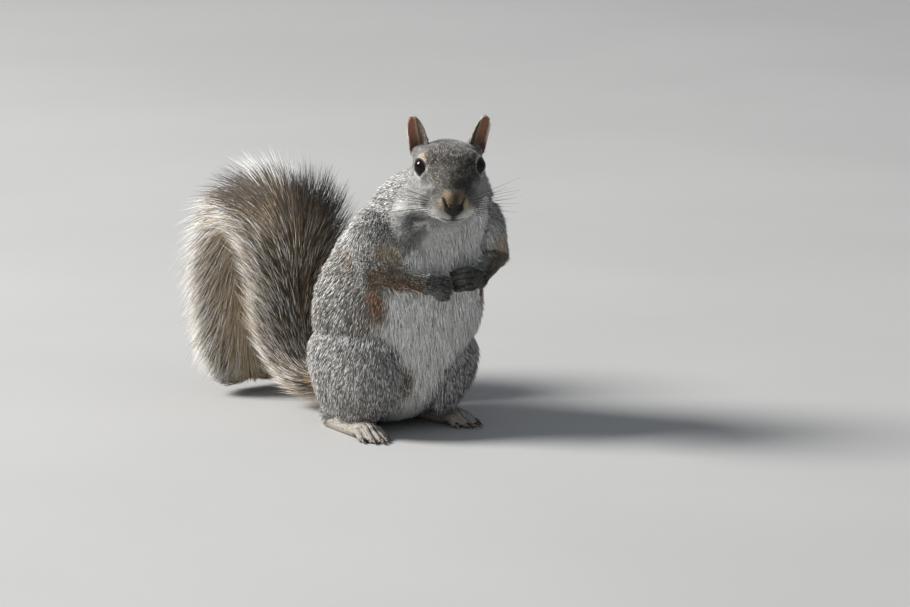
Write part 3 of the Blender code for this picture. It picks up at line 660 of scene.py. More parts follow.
class Coat:
    """Ground colour with its painted shade and light, how grizzled the coat is, and how buff its light tips
    are, at each place.
    """

    def __init__(self, points, normals, marks):
        self.points, self.normals = points, normals
        self.kinds = KINDS[marks]
        self.left = points[:, 0] / MM - CENTRE_SHIFT[0]
        self.forward = -points[:, 1] / MM - CENTRE_SHIFT[1]
        self.up = points[:, 2] / MM
        self.wobble = noise(points, 9 * MM, 3)
        coarse = noise(points, 14 * MM, 5) * 0.6 + noise(points, 6 * MM, 6) * 0.4
        self.ground = mix(GREY[None], BROWN_GREY[None], np.clip(0.3 + 0.5 * coarse, 0, 1))
        self.ground = mix(self.ground, PALE_GREY, np.clip(-0.1 + 0.55 * noise(points, 8 * MM, 8), 0, 1))
        self.grizzle = np.full(len(points), 0.85)
        self.buff = np.full(len(points), 0.12)
        self.body()
        self.limbs()
        self.head()
        self.ears()
        self.buff = np.clip(self.buff, 0, 1)

    def tint(self, colour, share, calm=0.0):
        """Mixes a colour in; calm takes away that much of the grizzling with it."""
        self.ground = mix(self.ground, colour, np.clip(share, 0, 1))
        self.grizzle = self.grizzle * (1 - calm * np.clip(share, 0, 1))

    def body(self):
        left, forward, up = self.left, self.forward, self.up
        middle_left = np.interp(up, (10, 60, 100, 130, 150), (0, 2, 2, 6, 8))
        middle_forward = np.interp(up, (10, 60, 100, 130, 150), (-10, 0, 8, 20, 32))
        bearing = np.degrees(np.arctan2(left - middle_left, forward - middle_forward))
        half_front = np.interp(up, (0, 20, 60, 90, 105, 120, 135), (95, 80, 60, 52, 53, 46, 40))
        off_edge = np.abs(bearing - 2) - half_front + 5 * self.wobble
        front = smooth_between(6, -6, off_edge) * np.isin(self.kinds, ("trunk", "neck"))
        throat = self.normals @ unit(np.array((-0.25, -0.8, -0.55)))
        high = smooth_between(128, 140, up)
        under_chin = smooth_between(0.48, 0.68, throat + 0.06 * self.wobble) * high * (front > 0)
        front = front * (1 - high) + under_chin
        spine = smooth_between(140, 170, np.abs(bearing)) * np.isin(self.kinds, ("trunk", "neck", "thigh"))
        self.tint(BROWN_GREY, spine * 0.55)
        border = np.exp(-((off_edge - 7) / 7) ** 2) * (self.kinds == "trunk") * smooth_between(118, 100, up)
        self.tint(TAN, border * 0.4)
        thigh = self.kinds == "thigh"
        self.tint(PALE_GREY, 0.42 * thigh * smooth_between(80, 58, up))
        # Painted shade: the upward-facing tops of the thighs towards the back are darkened.
        thigh_top_shade = smooth_between(0.15, 0.6, self.normals[:, 2]) * smooth_between(40, 20, forward)
        self.tint(mix(GREY, DARK, 0.4), thigh * thigh_top_shade * 0.75)
        # A paler band over the shoulders: partly the coat's own pale grizzle, partly painted light where the
        # lamp falls on their tops.
        pale_lit_shoulder = smooth_between(108, 122, up) * np.isin(self.kinds, ("trunk", "upper_arm", "neck"))
        self.tint(PALE_GREY, 0.35 * pale_lit_shoulder)
        inward = np.where(left < 0, 1, -1) * self.normals[:, 0]
        groin = thigh * smooth_between(0.35, 0.75, inward) * smooth_between(12, 24, forward)
        white = np.maximum(front, groin)
        for side in ("r", "l"):
            start, end = (at(*p) for p in RUST_BAND[side])
            share, off = along_segment(self.points, start, end)
            core = smooth_between(3.4, 0.0, off + 2.0 * noise(self.points, 4 * MM, 7) - 1.0 - 1.3 * share)
            core = core * np.isin(self.kinds, ("trunk", "thigh"))
            white = white * (1 - core)
            self.tint(mix(TAN[None], RUST[None], smooth_between(0.25, 0.75, share)), core * 0.8, 0.2)
            self.buff = self.buff + core * 0.6
            # Painted shade in the crease behind the arm.
            _, off = along_segment(self.points, *(at(*p) for p in ARMPIT_SHADE[side]))
            armpit_shade = smooth_between(5.0, 1.5, off) * 0.75 * (self.kinds == "trunk")
            self.tint(mix(DARK, BROWN_GREY, 0.2), armpit_shade, 0.5)
        _, crease = along_segment(self.points, at(-14, 30, 62), at(-15, 33, 34))
        stripe = smooth_between(6, 2, crease)
        white = white * (1 - stripe)
        self.tint(TAN, stripe * 0.8)
        self.tint(mix(WHITE, PALE_GREY, 0.3), white, 0.93)
        self.buff = self.buff * (1 - white)

    def limbs(self):
        for side in ("l", "r"):
            own = (self.left > 4) == (side == "l")
            share, _ = along_segment(self.points, at(*SHOULDER[side]), at(*ELBOW[side]))
            inner = unit(np.array((-0.8 if side == "l" else 0.8, -0.6, 0.0)))
            bulge = distance_from(self.points, ARM_PATCH[side]) + self.wobble
            near_arm = np.isin(self.kinds, ("upper_arm", "trunk")) * own
            elbow = near_arm * smooth_between(11.0, 5.0, bulge)
            # Paler round the elbow's patch on faces turned inward: partly the coat's own pale inner fur,
            # partly painted light where faces turn from the lamp.
            pale_lit_halo = near_arm * smooth_between(19.0, 13.0, bulge)
            pale_lit_halo = pale_lit_halo * smooth_between(0.0, 0.5, self.normals @ inner)
            self.tint(mix(PALE_GREY, WHITE, 0.4), pale_lit_halo * 0.7, 0.3)
            self.tint(mix(BUFF, CREAM, 0.55), elbow * 0.85, 0.2)
            self.buff = self.buff + 0.5 * elbow
            # Paler on the arm's inner side: partly its own pale fur, partly painted light on faces turned
            # from the lamp.
            inside = smooth_between(0.35, 0.8, self.normals @ inner) * own * (self.kinds == "upper_arm")
            self.tint(mix(PALE_GREY, WHITE, 0.3), inside * smooth_between(1.0, 0.7, share) * 0.8, 0.6)
            forearm = (self.kinds == "forearm") & own
            share, _ = along_segment(self.points, at(*ELBOW[side]), at(*WRIST[side]))
            under = smooth_between(0.2, -0.6, self.normals[:, 2]) * smooth_between(0.15, 0.5, share)
            self.tint(mix(BROWN_GREY, DARK, 0.25), forearm * 1.0)
            self.tint(mix(BROWN_GREY, TAN, 0.5), forearm * smooth_between(0.6, 0.1, share) * 0.8)
            self.tint(PAW, forearm * smooth_between(0.7, 1.0, share) * 0.6)
            self.tint(mix(RUST, DARK, 0.3), forearm * under * 0.85)
            self.tint(PALE_GREY, forearm * smooth_between(0.5, 0.9, self.normals[:, 2]) * 0.6)
            self.buff = np.where(forearm, 0.35, self.buff)
            for kind, colour, calm in (("forepaw", PAW, 0.0), ("hind_foot", mix(PALE_GREY, BUFF, 0.4), 0.6)):
                paw = (self.kinds == kind) & own
                self.tint(colour, paw * 1.0, calm)
                self.tint(PALE_GREY, paw * np.clip(0.35 * self.wobble, 0, 1))
                # Painted shade in the grooves between the fingers and between the toes.
                digit_gap_shade = np.where(paw, gap_between_digits(self.points, side, kind), 0.0)
                self.tint(colour * 0.3, digit_gap_shade * 0.8, 0.6)
        sole = (self.kinds == "hind_foot") * smooth_between(-0.4, -0.8, self.normals[:, 2])
        self.tint(PINK, sole, 1.0)

    def head(self):
        x, f, z = self.x, self.f, self.z = to_head(self.points).T
        side = np.abs(x)
        on = (self.kinds == "head").astype(float)
        freckle = noise(self.points, 4 * MM, 9)

        def patch(middle_side, middle_up, half_side, half_up, power=2):
            sideways = np.abs((side - middle_side) / half_side) ** power
            return np.exp(-sideways - np.abs((z - middle_up) / half_up) ** power)

        self.tint(FACE, on * (0.92 + 0.2 * freckle))
        self.tint(GREY, on * np.maximum(smooth_between(3, -10, f), smooth_between(11, 18, z)) * 0.55)
        self.grizzle = np.where(on > 0, 0.85, self.grizzle)
        self.buff = np.where(on > 0, 0.22, self.buff)
        cheek = smooth_between(-3, -9, z) * smooth_between(8, 13, side + 0.3 * (20 - f))
        cheek = cheek * smooth_between(-22, -12, f)
        self.tint(mix(GREY, PALE_GREY, 0.5), on * cheek * (0.75 + 0.25 * freckle), 0.1)
        self.buff = self.buff * (1 - 0.6 * on * cheek)
        jaw = smooth_between(-17, -22, z + 0.3 * np.maximum(side - 9, 0) + 0.8 * self.wobble)
        self.tint(WHITE, on * (jaw * smooth_between(19, 13, side)), 0.85)
        ruff = smooth_between(8, 12, side) * np.exp(-((z + 27.0) / 3.4) ** 2) * smooth_between(-14, -6, f)
        self.tint(mix(PALE_GREY, WHITE, 0.5), on * ruff, 0.6)
        # Painted shade: the chin under the mouth is darkened, where the lips shade it.
        chin = np.exp(-(x / 8.0) ** 2) * smooth_between(-24.6, -26, z) * smooth_between(12, 17, f)
        self.tint(mix(DARK, BROWN_GREY, 0.6), on * chin * 0.75, 0.3)
        self.tint(WHITE, on * patch(9.3, -20.3, 4.2, 4.8) * smooth_between(12, 18, f) * 1.3, 0.85)
        under_eye = on * patch(13.0, -9.5, 4.0, 2.8) * smooth_between(-6, 2, f)
        self.tint(mix(PALE_GREY, CREAM, 0.5), under_eye * 0.12, 0.1)
        beside_nose = on * patch(7.0, -13.5, 1.8, 4.5) * smooth_between(16, 19, f)
        self.tint(mix(BUFF, CREAM, 0.4), beside_nose * 0.85, 0.7)
        bridge = patch(0.0, -3.0, 5.8, 2.8) * smooth_between(14, 18, f)
        self.tint(DARK, on * bridge, 0.6)
        # Dark along the crease over the nose and down behind each whisker pad: painted shade in the crease,
        # which near the pads also stands for the dark roots of the whiskers.
        frame_line = smooth_between(2.6, 0.7, off_frame(side, z, 0) + 0.5 * freckle)
        frame_line = frame_line * smooth_between(6, 10, f)
        self.tint(DARK, on * frame_line * (0.85 - 0.35 * smooth_between(-9, -16, z)), 0.4)
        # The nose's furred end: tan at the sides and dark brown in the middle, with the dark set 0.6 mm to
        # its left as painted shade on that side.
        bulb = patch(0.0, -9.9, 5.7, 4.2, 6) * smooth_between(19, 21, f)
        middle = np.exp(-((x - 0.6) / 3.1) ** 2)
        brown = mix(mix(BUFF, TAN, 0.55)[None], mix(DARK, BROWN_GREY, 0.25)[None], middle)
        self.tint(brown, on * bulb, 0.9)
        _, alar = along_segment(np.stack([side, z], 1), *ALAR, 1.0)
        self.tint(BLACK, on * smooth_between(1.3, 0.5, alar) * smooth_between(18, 20, f) * 0.8, 0.9)
        cleft = np.exp(-(x / 3.0) ** 2) * smooth_between(-18, -20, z) * smooth_between(-26, -24.5, z)
        lip = np.exp(-((z - mouth_line(side, f)) / 0.9) ** 2) * smooth_between(15, 19, f)
        lip = lip * smooth_between(8.5, 5.5, side)
        self.tint(BLACK, on * np.maximum(cleft * smooth_between(18, 21, f), lip) * 0.9, 0.9)
        for arm in eye_arms(self.points):
            ring = smooth_between(8.8, 7.0, np.linalg.norm(arm, axis=1) + 0.9 * self.wobble)
            above = smooth_between(-3, 3, arm[:, 2])
            self.tint(mix(PALE_GREY[None], mix(CREAM, BUFF, 0.4)[None], above), on * ring * 0.75, 0.6)
        # Painted shade: the coat under the chin is darkened by half, where the head shades it.
        tucked = under_head(self.points) * np.isin(self.kinds, ("neck", "trunk", "upper_arm"))
        self.ground = self.ground * (1 - 0.5 * tucked)[:, None]
        # Painted shade: a darker spot in the hollow of the throat under the jaw.
        hollow = distance_from(self.points, THROAT_SHADE_AT)
        self.tint(mix(GREY, DARK, 0.45), smooth_between(9.5, 4.5, hollow) * 0.85, 0.3)

    def ears(self):
        on = (self.kinds == "ear").astype(float)
        share = np.clip((self.z - EAR_FOOT[2]) / 24.0, 0, 1)
        inside = smooth_between(-0.05, 0.3, faces_ear_opening(self.points, self.normals))
        paler = smooth_between(0.3, 1.0, share) * 0.6
        self.tint(mix(mix(GREY, BROWN_GREY, 0.5)[None], CREAM[None], paler), on, 0.8)
        # Painted shade: the inside of the ear is darkened towards its base, deep in the hollow.
        deep = mix(EAR_INSIDE[None] * 0.3, EAR_INSIDE[None], smooth_between(0.0, 0.55, share))
        self.tint(deep, on * inside, 0.5)
        middle = EAR_FOOT[0] + share * (EAR_TIP["r"][0] - EAR_FOOT[0])
        lane = np.abs(self.x) - middle
        # Painted shade along the ear's edge nearer the head, where its fold lies.
        self.tint(EAR_FOLD_SHADE * 0.6, on * inside * smooth_between(-0.9, -1.9, lane) * 0.95)
        self.tint(CREAM, on * inside * np.exp(-((lane + 1.2) / 0.4) ** 2) * 0.35)
        across = np.abs(lane * 0.85 - (self.f - EAR_FOOT[1] - share * (EAR_TIP["r"][1] - EAR_FOOT[1])) * 0.52)
        inset = across - 0.6 * (lane < 0) - 6.2 * np.sqrt(np.clip(1 - share ** 4, 0, 1))
        rim = np.maximum(smooth_between(-1.0, -0.3, inset), smooth_between(0.93, 0.98, share))
        rim = on * rim * smooth_between(0.15, 0.4, share) * np.where(lane < 0, 0.45, 0.9)
        self.tint(mix(CREAM, WHITE, 0.5), rim)
        self.buff = np.where(on > 0, 0.4, self.buff)


# ---------------------------------------------------------------- lie of the coat

def lie_of_coat(points, normals, marks, edges):
    """The way hairs lie at each point of the skin, along the surface."""
    kinds = KINDS[marks]
    way = np.tile((0.0, 0.0, -1.0), (len(points), 1))
    forward = -(points[:, 1] / MM) - CENTRE_SHIFT[1]
    left = points[:, 0] / MM - CENTRE_SHIFT[0]
    way[:, 1] = 0.35 - 0.3 * smooth_between(10, 45, forward)
    way[kinds == "neck"] = (0.05, 0.45, -1.0)
    way[kinds == "thigh"] = (0.0, 0.12, -1.0)
    _, f, z = to_head(points).T
    throat = smooth_between(-54, -44, z) * smooth_between(-16, -6, f)
    throat = throat * np.isin(kinds, ("neck", "trunk", "upper_arm"))
    way += ((0.0, -1.0, -0.7) - way) * throat[:, None]
    for side in ("l", "r"):
        own = (left > 4) == (side == "l")
        stations = {"upper_arm": (SHOULDER, ELBOW), "forearm": (ELBOW, WRIST), "forepaw": (WRIST, PAW_TIP),
                    "shank": (KNEE, HEEL)}
        for kind, (start, end) in stations.items():
            way[(kinds == kind) & own] = (at(*end[side]) - at(*start[side])).normalized()
        way[(kinds == "hind_foot") & own] = foot_frame(side)[1] + (0.0, 0.0, -0.1)
        wrist, along, _, back = hand_frame(side)
        curled = (kinds == "forepaw") & own & ((points - wrist) @ along > 13.0 * MM)
        way[curled] = along * 0.2 - back
        sign = 1 if side == "l" else -1
        foot, tip = (head_point(sign * p[0], p[1], p[2]) for p in (EAR_FOOT, EAR_TIP[side]))
        way[(kinds == "ear") & ((to_head(points)[:, 0] > 0) == (side == "l"))] = (tip - foot).normalized()
    upper = kinds == "upper_arm"
    way[upper] = unit(way[upper]) + (0.0, 0.1, -0.5)
    head = kinds == "head"
    x, f, z = to_head(points[head]).T
    nose = np.array(NOSE_AT)
    local = unit(np.stack([x - nose[0], f - nose[1] - 2.0, z - nose[2] - 3.0], 1)) * (1.0, 1.0, 0.85)
    local[:, 1] -= 0.35
    local[:, 2] -= 0.35 * smooth_between(-4, -16, z) + 2.4 * smooth_between(-8, -24, f)
    way[head] = (local * (1, -1, 1)) @ HEAD_TURN.T
    way = unit(way)
    way = unit(spread(way, edges, 14))
    way = way - normals * np.sum(way * normals, axis=1, keepdims=True)
    return unit(way)


# ---------------------------------------------------------------- tufts

SIDES = 3                            # of each tuft
PATCH = 0.003                        # width in the UV map of a tuft's own patch


def tuft_mesh(name, paths, ups, widths, tapers, low, tip, roots_uv, flat, soften, tilt):
    """Solid tapering tufts. paths holds each one's middle line from root to tip, and ups the way its back
    faces. low and tip are its colours with a fourth number: low's is filled with the share along the tuft,
    tip's is how dark its band is. soften and tilt turn the shading normals to the back and along the tuft."""
    count, stations = paths.shape[:2]
    rings = stations - 1
    along = np.gradient(paths, axis=1)
    side = unit(np.cross(along, ups[:, None]))
    rise = np.cross(side, unit(along))
    half = widths[:, None, None] / 2 * np.array(tapers)[None, :, None]
    body = np.empty((count, rings, SIDES, 3))
    body[:, :, 0] = paths[:, :rings] + side[:, :rings] * half
    body[:, :, 1] = paths[:, :rings] + rise[:, :rings] * half * 2 * flat
    body[:, :, 2] = paths[:, :rings] - side[:, :rings] * half
    each = rings * SIDES + 1
    points = np.empty((count, each, 3))
    points[:, :-1] = body.reshape(count, -1, 3)
    points[:, -1] = paths[:, -1]
    template = [(0, 1, 2)]
    for k in range(rings - 1):
        for i in range(SIDES):
            a, b = k * SIDES + i, k * SIDES + (i + 1) % SIDES
            template += [(a, b + SIDES, b), (a, a + SIDES, b + SIDES)]
    last = (rings - 1) * SIDES
    template += [(last + (i + 1) % SIDES, last + i, each - 1) for i in range(SIDES)]
    faces = (np.arange(count)[:, None, None] * each + np.array(template)[None]).reshape(-1, 3)
    obj = mesh_object(name, points.reshape(-1, 3), faces)
    mesh = obj.data

    share = np.linalg.norm(np.diff(paths, axis=1), axis=2).cumsum(axis=1)
    share = np.concatenate([np.zeros((count, 1)), share], axis=1) / share[:, -1:]
    along_share = np.concatenate([np.repeat(share[:, :rings], SIDES, axis=1), share[:, -1:]], axis=1)
    ground = np.repeat(low[:, None], each, axis=1)
    ground[..., 3] = along_share
    paint(mesh, "ground", ground.reshape(-1, 4))
    paint(mesh, "tip", np.repeat(tip, each, axis=0))

    lean = np.zeros((count, each, 3))
    lean[:, :-1] = (np.stack([side, rise, -side], axis=2)[:, :rings]).reshape(count, -1, 3)
    lean += unit(paths[:, -1:] - paths[:, :1]) * (tilt * along_share[..., None])
    normals = unit(ups[:, None] * soften + lean * (1 - soften))
    mesh.normals_split_custom_set_from_vertices(normals.reshape(-1, 3).astype(np.float32))

    across = np.concatenate([np.tile((-0.5, 0.0, 0.5), rings), [0.0]]) * PATCH
    corner = faces.ravel()
    owner, place = corner // each, corner % each
    uv = roots_uv[owner].copy()
    uv[:, 0] += across[place]
    uv[:, 1] += (along_share[owner, place] - 0.5) * PATCH
    layer = mesh.uv_layers.new(name="OFBake")
    layer.data.foreach_set("uv", uv.astype(np.float32).ravel())
    return obj


def unwrap_round(roots):
    """Angle round the part's long axis and place along it, each from 0 to 1."""
    middle = roots.mean(axis=0)
    arms = roots - middle
    axis = np.linalg.eigh(arms.T @ arms)[1][:, -1]
    helper = np.array((0.0, 0.0, 1.0)) if abs(axis[2]) < 0.8 else np.array((1.0, 0.0, 0.0))
    one = unit(np.cross(axis, helper))
    two = np.cross(axis, one)
    angle = np.arctan2(arms @ one, arms @ two) / (2 * math.pi) + 0.5
    height = arms @ axis
    height = (height - height.min()) / max(np.ptp(height), 1e-9)
    return np.stack([angle, height], 1) * (1 - 2 * PATCH) + PATCH


# Tufts on each kind of part: guard hairs and under hairs for each square mm, length and width in mm
TUFTS = {
    "head": (0.0, 8.5, 4.7, 0.40), "neck": (0.90, 2.0, 9.0, 0.62), "trunk": (0.76, 1.25, 11.5, 0.70),
    "upper_arm": (0.95, 1.5, 8.5, 0.60), "forearm": (1.5, 2.0, 5.8, 0.50), "forepaw": (0.0, 6.5, 2.0, 0.28),
    "thigh": (0.85, 1.3, 10.5, 0.68), "shank": (1.0, 1.5, 7.0, 0.60), "hind_foot": (0.0, 5.5, 2.0, 0.30),
    "ear": (0.0, 5.5, 1.7, 0.26),
}
SHORT = ("head", *FINGERED, "ear")   # parts whose whole coat is short and straight
LIMIT = 190000                       # triangles in one coat piece
TAIL_TRIES, QUICK_TAIL_TRIES = 86000, 24000
TAIL_LIMIT = -71.0                   # mm: no tail hair goes farther to its right
SUNK = 0.25                          # mm of each tuft under the skin
THINNEST = 0.3                       # mm, least depth of coat
BODY_FLOOR, TAIL_FLOOR = 0.3, 0.6    # mm, least height above the floor of a tuft's middle line


class Surface:
    """The skin's triangles, with what the coat needs to know at its points."""

    def __init__(self, skin):
        mesh = skin.data
        mesh.calc_loop_triangles()
        self.points, self.normals = mesh_points(mesh), mesh_normals(mesh)
        self.edges = read(mesh.edges, "vertices", 2, np.int32)
        self.triangles = read(mesh.loop_triangles, "vertices", 3, np.int32)
        self.marks = Parts.nearest(self.points)
        self.way = lie_of_coat(self.points, self.normals, self.marks, self.edges)
        self.depth = coat_depth(self.points, self.marks, self.edges)
        self.tuft = spread(np.array([TUFTS[kind] for kind in KINDS])[self.marks], self.edges, 30)
        corners = self.points[self.triangles]
        a, b, c = (corners[:, k] for k in range(3))
        self.area = np.linalg.norm(np.cross(b - a, c - a), axis=1) / 2 / MM ** 2
        middles = corners.mean(axis=1)
        face_normals = unit(self.normals[self.triangles].mean(axis=1))
        self.free = is_coated(middles, face_normals) & off_the_bone(middles)

    def scatter(self, draw, layer):
        """Roots over the whole skin, by the layer's density, with a reader of values there."""
        density = self.tuft[self.triangles][:, :, layer].mean(axis=1)
        weight = self.area * self.free * density * 1.0
        pick, u, v = pick_places(draw, weight, int(weight.sum()))
        weights = np.stack([1 - u - v, u, v], 1)
        corners = self.triangles[pick]
        nearest = corners[np.arange(len(pick)), weights.argmax(axis=1)]
        return self.marks[nearest], lambda values: np.einsum("nk,nkj->nj", weights, values[corners])


def is_coated(points, normals):
    """Leaves out the eyes, the nose's leather, the lips' slit and the soles."""
    x, f, z = to_head(points).T
    keep = np.ones(len(points), dtype=bool)
    for sign, arm in zip((1, -1), eye_arms(points)):
        facing = unit(np.array((sign * EYE_FACING[0], *EYE_FACING[1:])))
        reach = np.linalg.norm(arm, axis=1)
        turn = np.degrees(np.arccos(np.clip(arm @ facing / np.maximum(reach, 1e-6), -1, 1)))
        keep &= ~((reach < EYE_RADIUS + 3) & (turn < LID_OPENING + 13))
    nose = ((x / NOSE_SIZE[0]) ** 2 + ((f - NOSE_AT[1]) / (NOSE_SIZE[1] + 0.3)) ** 2
            + ((z - NOSE_AT[2]) / NOSE_SIZE[2]) ** 2) < 1
    keep &= ~nose
    keep &= ~((np.abs(x) < 1.8) & (z < -18) & (z > -25.0) & (f > 21))
    keep &= ~((points[:, 2] < 2.2 * MM) & (normals[:, 2] < -0.3))
    return keep


def off_the_bone(points):
    """Where the skin isn't the tail's, which has its own coat."""
    tree = tree_of(Tail.middle)
    nearest = np.array([tree.find(p)[1:] for p in points])
    where = Tail.distance[nearest[:, 0].astype(int)]
    return ~((nearest[:, 1] < 9.0 * MM) & (where > 16 * MM))


def shorten_on_head(root, length, width):
    """Hairs get finer towards the nose and the eyes."""
    fine = smooth_between(8, 24, to_head(root)[:, 1])
    length, width = length * (1 - 0.55 * fine), width * (1 - 0.25 * fine)
    reach = np.min([np.linalg.norm(arm, axis=1) for arm in eye_arms(root)], axis=0)
    close = np.linalg.norm(to_head(root) - np.array(NOSE_AT), axis=1)
    short = (0.5 + 0.5 * smooth_between(7.5, 12, reach)) * (0.45 + 0.55 * smooth_between(9, 14, close))
    return length * short, width


def rim_hairs(root, normal, length):
    """Short inside the hollow of each ear, longer on its rim."""
    facing = faces_ear_opening(root, normal)
    return length * np.where(facing > 0.3, 0.6, 1.0) * (1 + 0.8 * smooth_between(0.5, 0.0, np.abs(facing)))


def held(colours, fourth):
    """Colours kept below white, with a fourth number at each."""
    return np.concatenate([np.clip(colours, 0, 0.95), fourth[:, None]], 1)


def fitted(root, normal, kinds, length, width, depth):
    """Each tuft's length, width and depth fitted to its place, and from 0 to 1 how far it's on the crown."""
    _, f, z = to_head(root).T
    finer, thinner = shorten_on_head(root, length, width)
    on_head = (kinds == "head") & (f > -20)
    length, width = np.where(on_head, finer, length), np.where(on_head, thinner, width)
    length = np.where(kinds == "ear", rim_hairs(root, normal, length), length)
    for side in ("l", "r"):
        length = length * (0.55 + 0.45 * smooth_between(9, 22, distance_from(root, ELBOW[side])))
    tucked = under_head(root) * (kinds != "head")
    length, depth = length * (1 - 0.35 * tucked), depth * (1 - 0.6 * tucked)
    crown = np.maximum(smooth_between(8, 13, z), smooth_between(-4, -14, f)) * (kinds == "head")
    return length * (1 - 0.25 * crown), width, depth * (1 - 0.6 * crown), crown


def body_lines(draw, root, normal, way, kinds, under, length, depth, shares):
    """The middle line of each tuft, from just under the skin to its tip."""
    count = len(root)
    swirl = 0.30 * noise(root, 7 * MM, 12) + 0.15 * draw.standard_normal(count)
    way = unit(way * np.cos(swirl)[:, None] + np.cross(normal, way) * np.sin(swirl)[:, None])
    clump = 0.09 * noise(root, 3 * MM, 14)
    rise = depth * (np.where(under, 0.72, 1.0) * draw.uniform(0.6, 1.1, count) + clump)
    steepest = np.select([kinds == "head", np.isin(kinds, ("forearm", *FINGERED))], [0.45, 0.3], 0.6)
    rise = np.minimum(rise, length * steepest)
    run = np.sqrt(length ** 2 - rise ** 2)
    path = np.stack([root + way * (run * t)[:, None] + normal * (rise * t * (1.6 - 0.6 * t))[:, None]
                     for t in shares], axis=1)
    path[:, 0] -= normal * (SUNK * MM)
    path[:, :, 2] = np.maximum(path[:, :, 2], BODY_FLOOR * MM)
    return path


def body_colours(draw, coat, kinds, short, under, crown):
    """Each tuft's colour along its length and at its tip."""
    root, ground, grizzle = coat.points, coat.ground, coat.grizzle
    count = len(root)
    luck = draw.random((3, count))
    band = np.where(under, 0.2, 1.0) * grizzle * np.where(luck[0] < 0.6, 1.0, 0.25)
    light = mix(WHITE[None], BUFF[None], (luck[1] < coat.buff) * 1.0)
    stretch = np.where(short[:, None], 1.3, (1.0, 1.0, 0.4))
    fleck = noise(root / np.where(short, 1.1, 1.5)[:, None] * stretch, MM, 22)
    chance = np.where(under, 0.2, np.where(kinds == "head", 0.24, 0.42))
    chance = chance + np.where(short, 0.08, 0.2) * noise(root, 6 * MM, 21)
    chance = chance + np.where(short, 0.9, 0.22) * fleck
    pale = (luck[2] < chance) * 1.0
    dark_tip = mix(ground, DARK[None], grizzle * (0.8 - 0.45 * crown))
    light_tip = mix(ground, light, (0.3 + 0.65 * grizzle) * np.where(kinds == "head", 0.72, 1.0))
    tone = np.clip(1 + 0.24 * draw.standard_normal(count) + 0.12 * fleck, 0.5, 1.5)
    tone = (tone * np.where(under, 0.86, 1.0))[:, None]
    return held(ground * tone, np.zeros(count)), held(mix(dark_tip, light_tip, pale) * tone, band)


def body_coat(surface, layer):
    """Layer 0 is the long banded guard hairs; 1 is the under hairs, and the whole coat of the short parts."""
    word, shares, tapers, triangles = (
        ("guard", (0.0, 0.5, 1.0), (0.8, 1.0), 10) if layer == 0 else ("under", (0.0, 1.0), (1.0,), 4))
    draw = np.random.default_rng([SEED, 1, layer])
    marks, at_root = surface.scatter(draw, layer)
    kinds = KINDS[marks]
    short = np.isin(kinds, SHORT)
    under = (layer == 1) & ~short
    root, normal, way = at_root(surface.points), unit(at_root(surface.normals)), unit(at_root(surface.way))
    depth = np.maximum(at_root(surface.depth[:, None])[:, 0], THINNEST * MM)
    length, width = at_root(surface.tuft)[:, 2:].T * MM
    length, width, depth, crown = fitted(root, normal, kinds, length, width, depth)
    length = length * np.where(under, 0.78, 1.0) * draw.uniform(0.75, 1.2, len(root))
    path = body_lines(draw, root, normal, way, kinds, under, length, depth, shares)
    low, tip = body_colours(draw, Coat(root, normal, marks), kinds, short, under, crown)
    pieces = []
    for number, name in enumerate(Parts.names):
        own = np.flatnonzero(marks == number)
        if not len(own):
            continue
        own = own[np.argsort(-root[own, 2], kind="stable")]
        chunks = max(1, math.ceil(len(own) * triangles / LIMIT))
        for k, part in enumerate(np.array_split(own, chunks)):
            label = f"coat_{name}_{word}" + (f"_{k + 1}" if chunks > 1 else "")
            piece = tuft_mesh(label, path[part], normal[part], width[part], tapers, low[part], tip[part],
                              unwrap_round(root[part]), flat=0.45, soften=0.45 if name == "head" else 0.55,
                              tilt=0.5)
            pieces.append((piece, stem(name)))
    return pieces


def tail_reach(draw, where, lateral, dorsal):
    """How far out each hair of the tail ends, 1 at the brush's surface, and which hairs are strays."""
    count = len(where)
    crest = np.exp(-((where / Tail.length - 0.54) / 0.12) ** 2)
    outer = draw.random(count) < (0.38 + 0.16 * lateral) * (1 - 0.6 * crest)
    extent = np.where(outer, draw.normal(1.0, 0.07, count), draw.uniform(0.4, 0.95, count) - 0.08 * crest)
    stray = draw.random(count) < 0.05
    extent = np.where(stray, extent + draw.uniform(0.05, 0.18, count), extent)
    extent = np.minimum(extent, 1.2 - 0.1 * dorsal)
    bend = np.exp(-((where / Tail.length - 0.52) / 0.13) ** 2)
    return extent * (1 + 0.10 * bend * lateral * (extent > 0.85)), stray


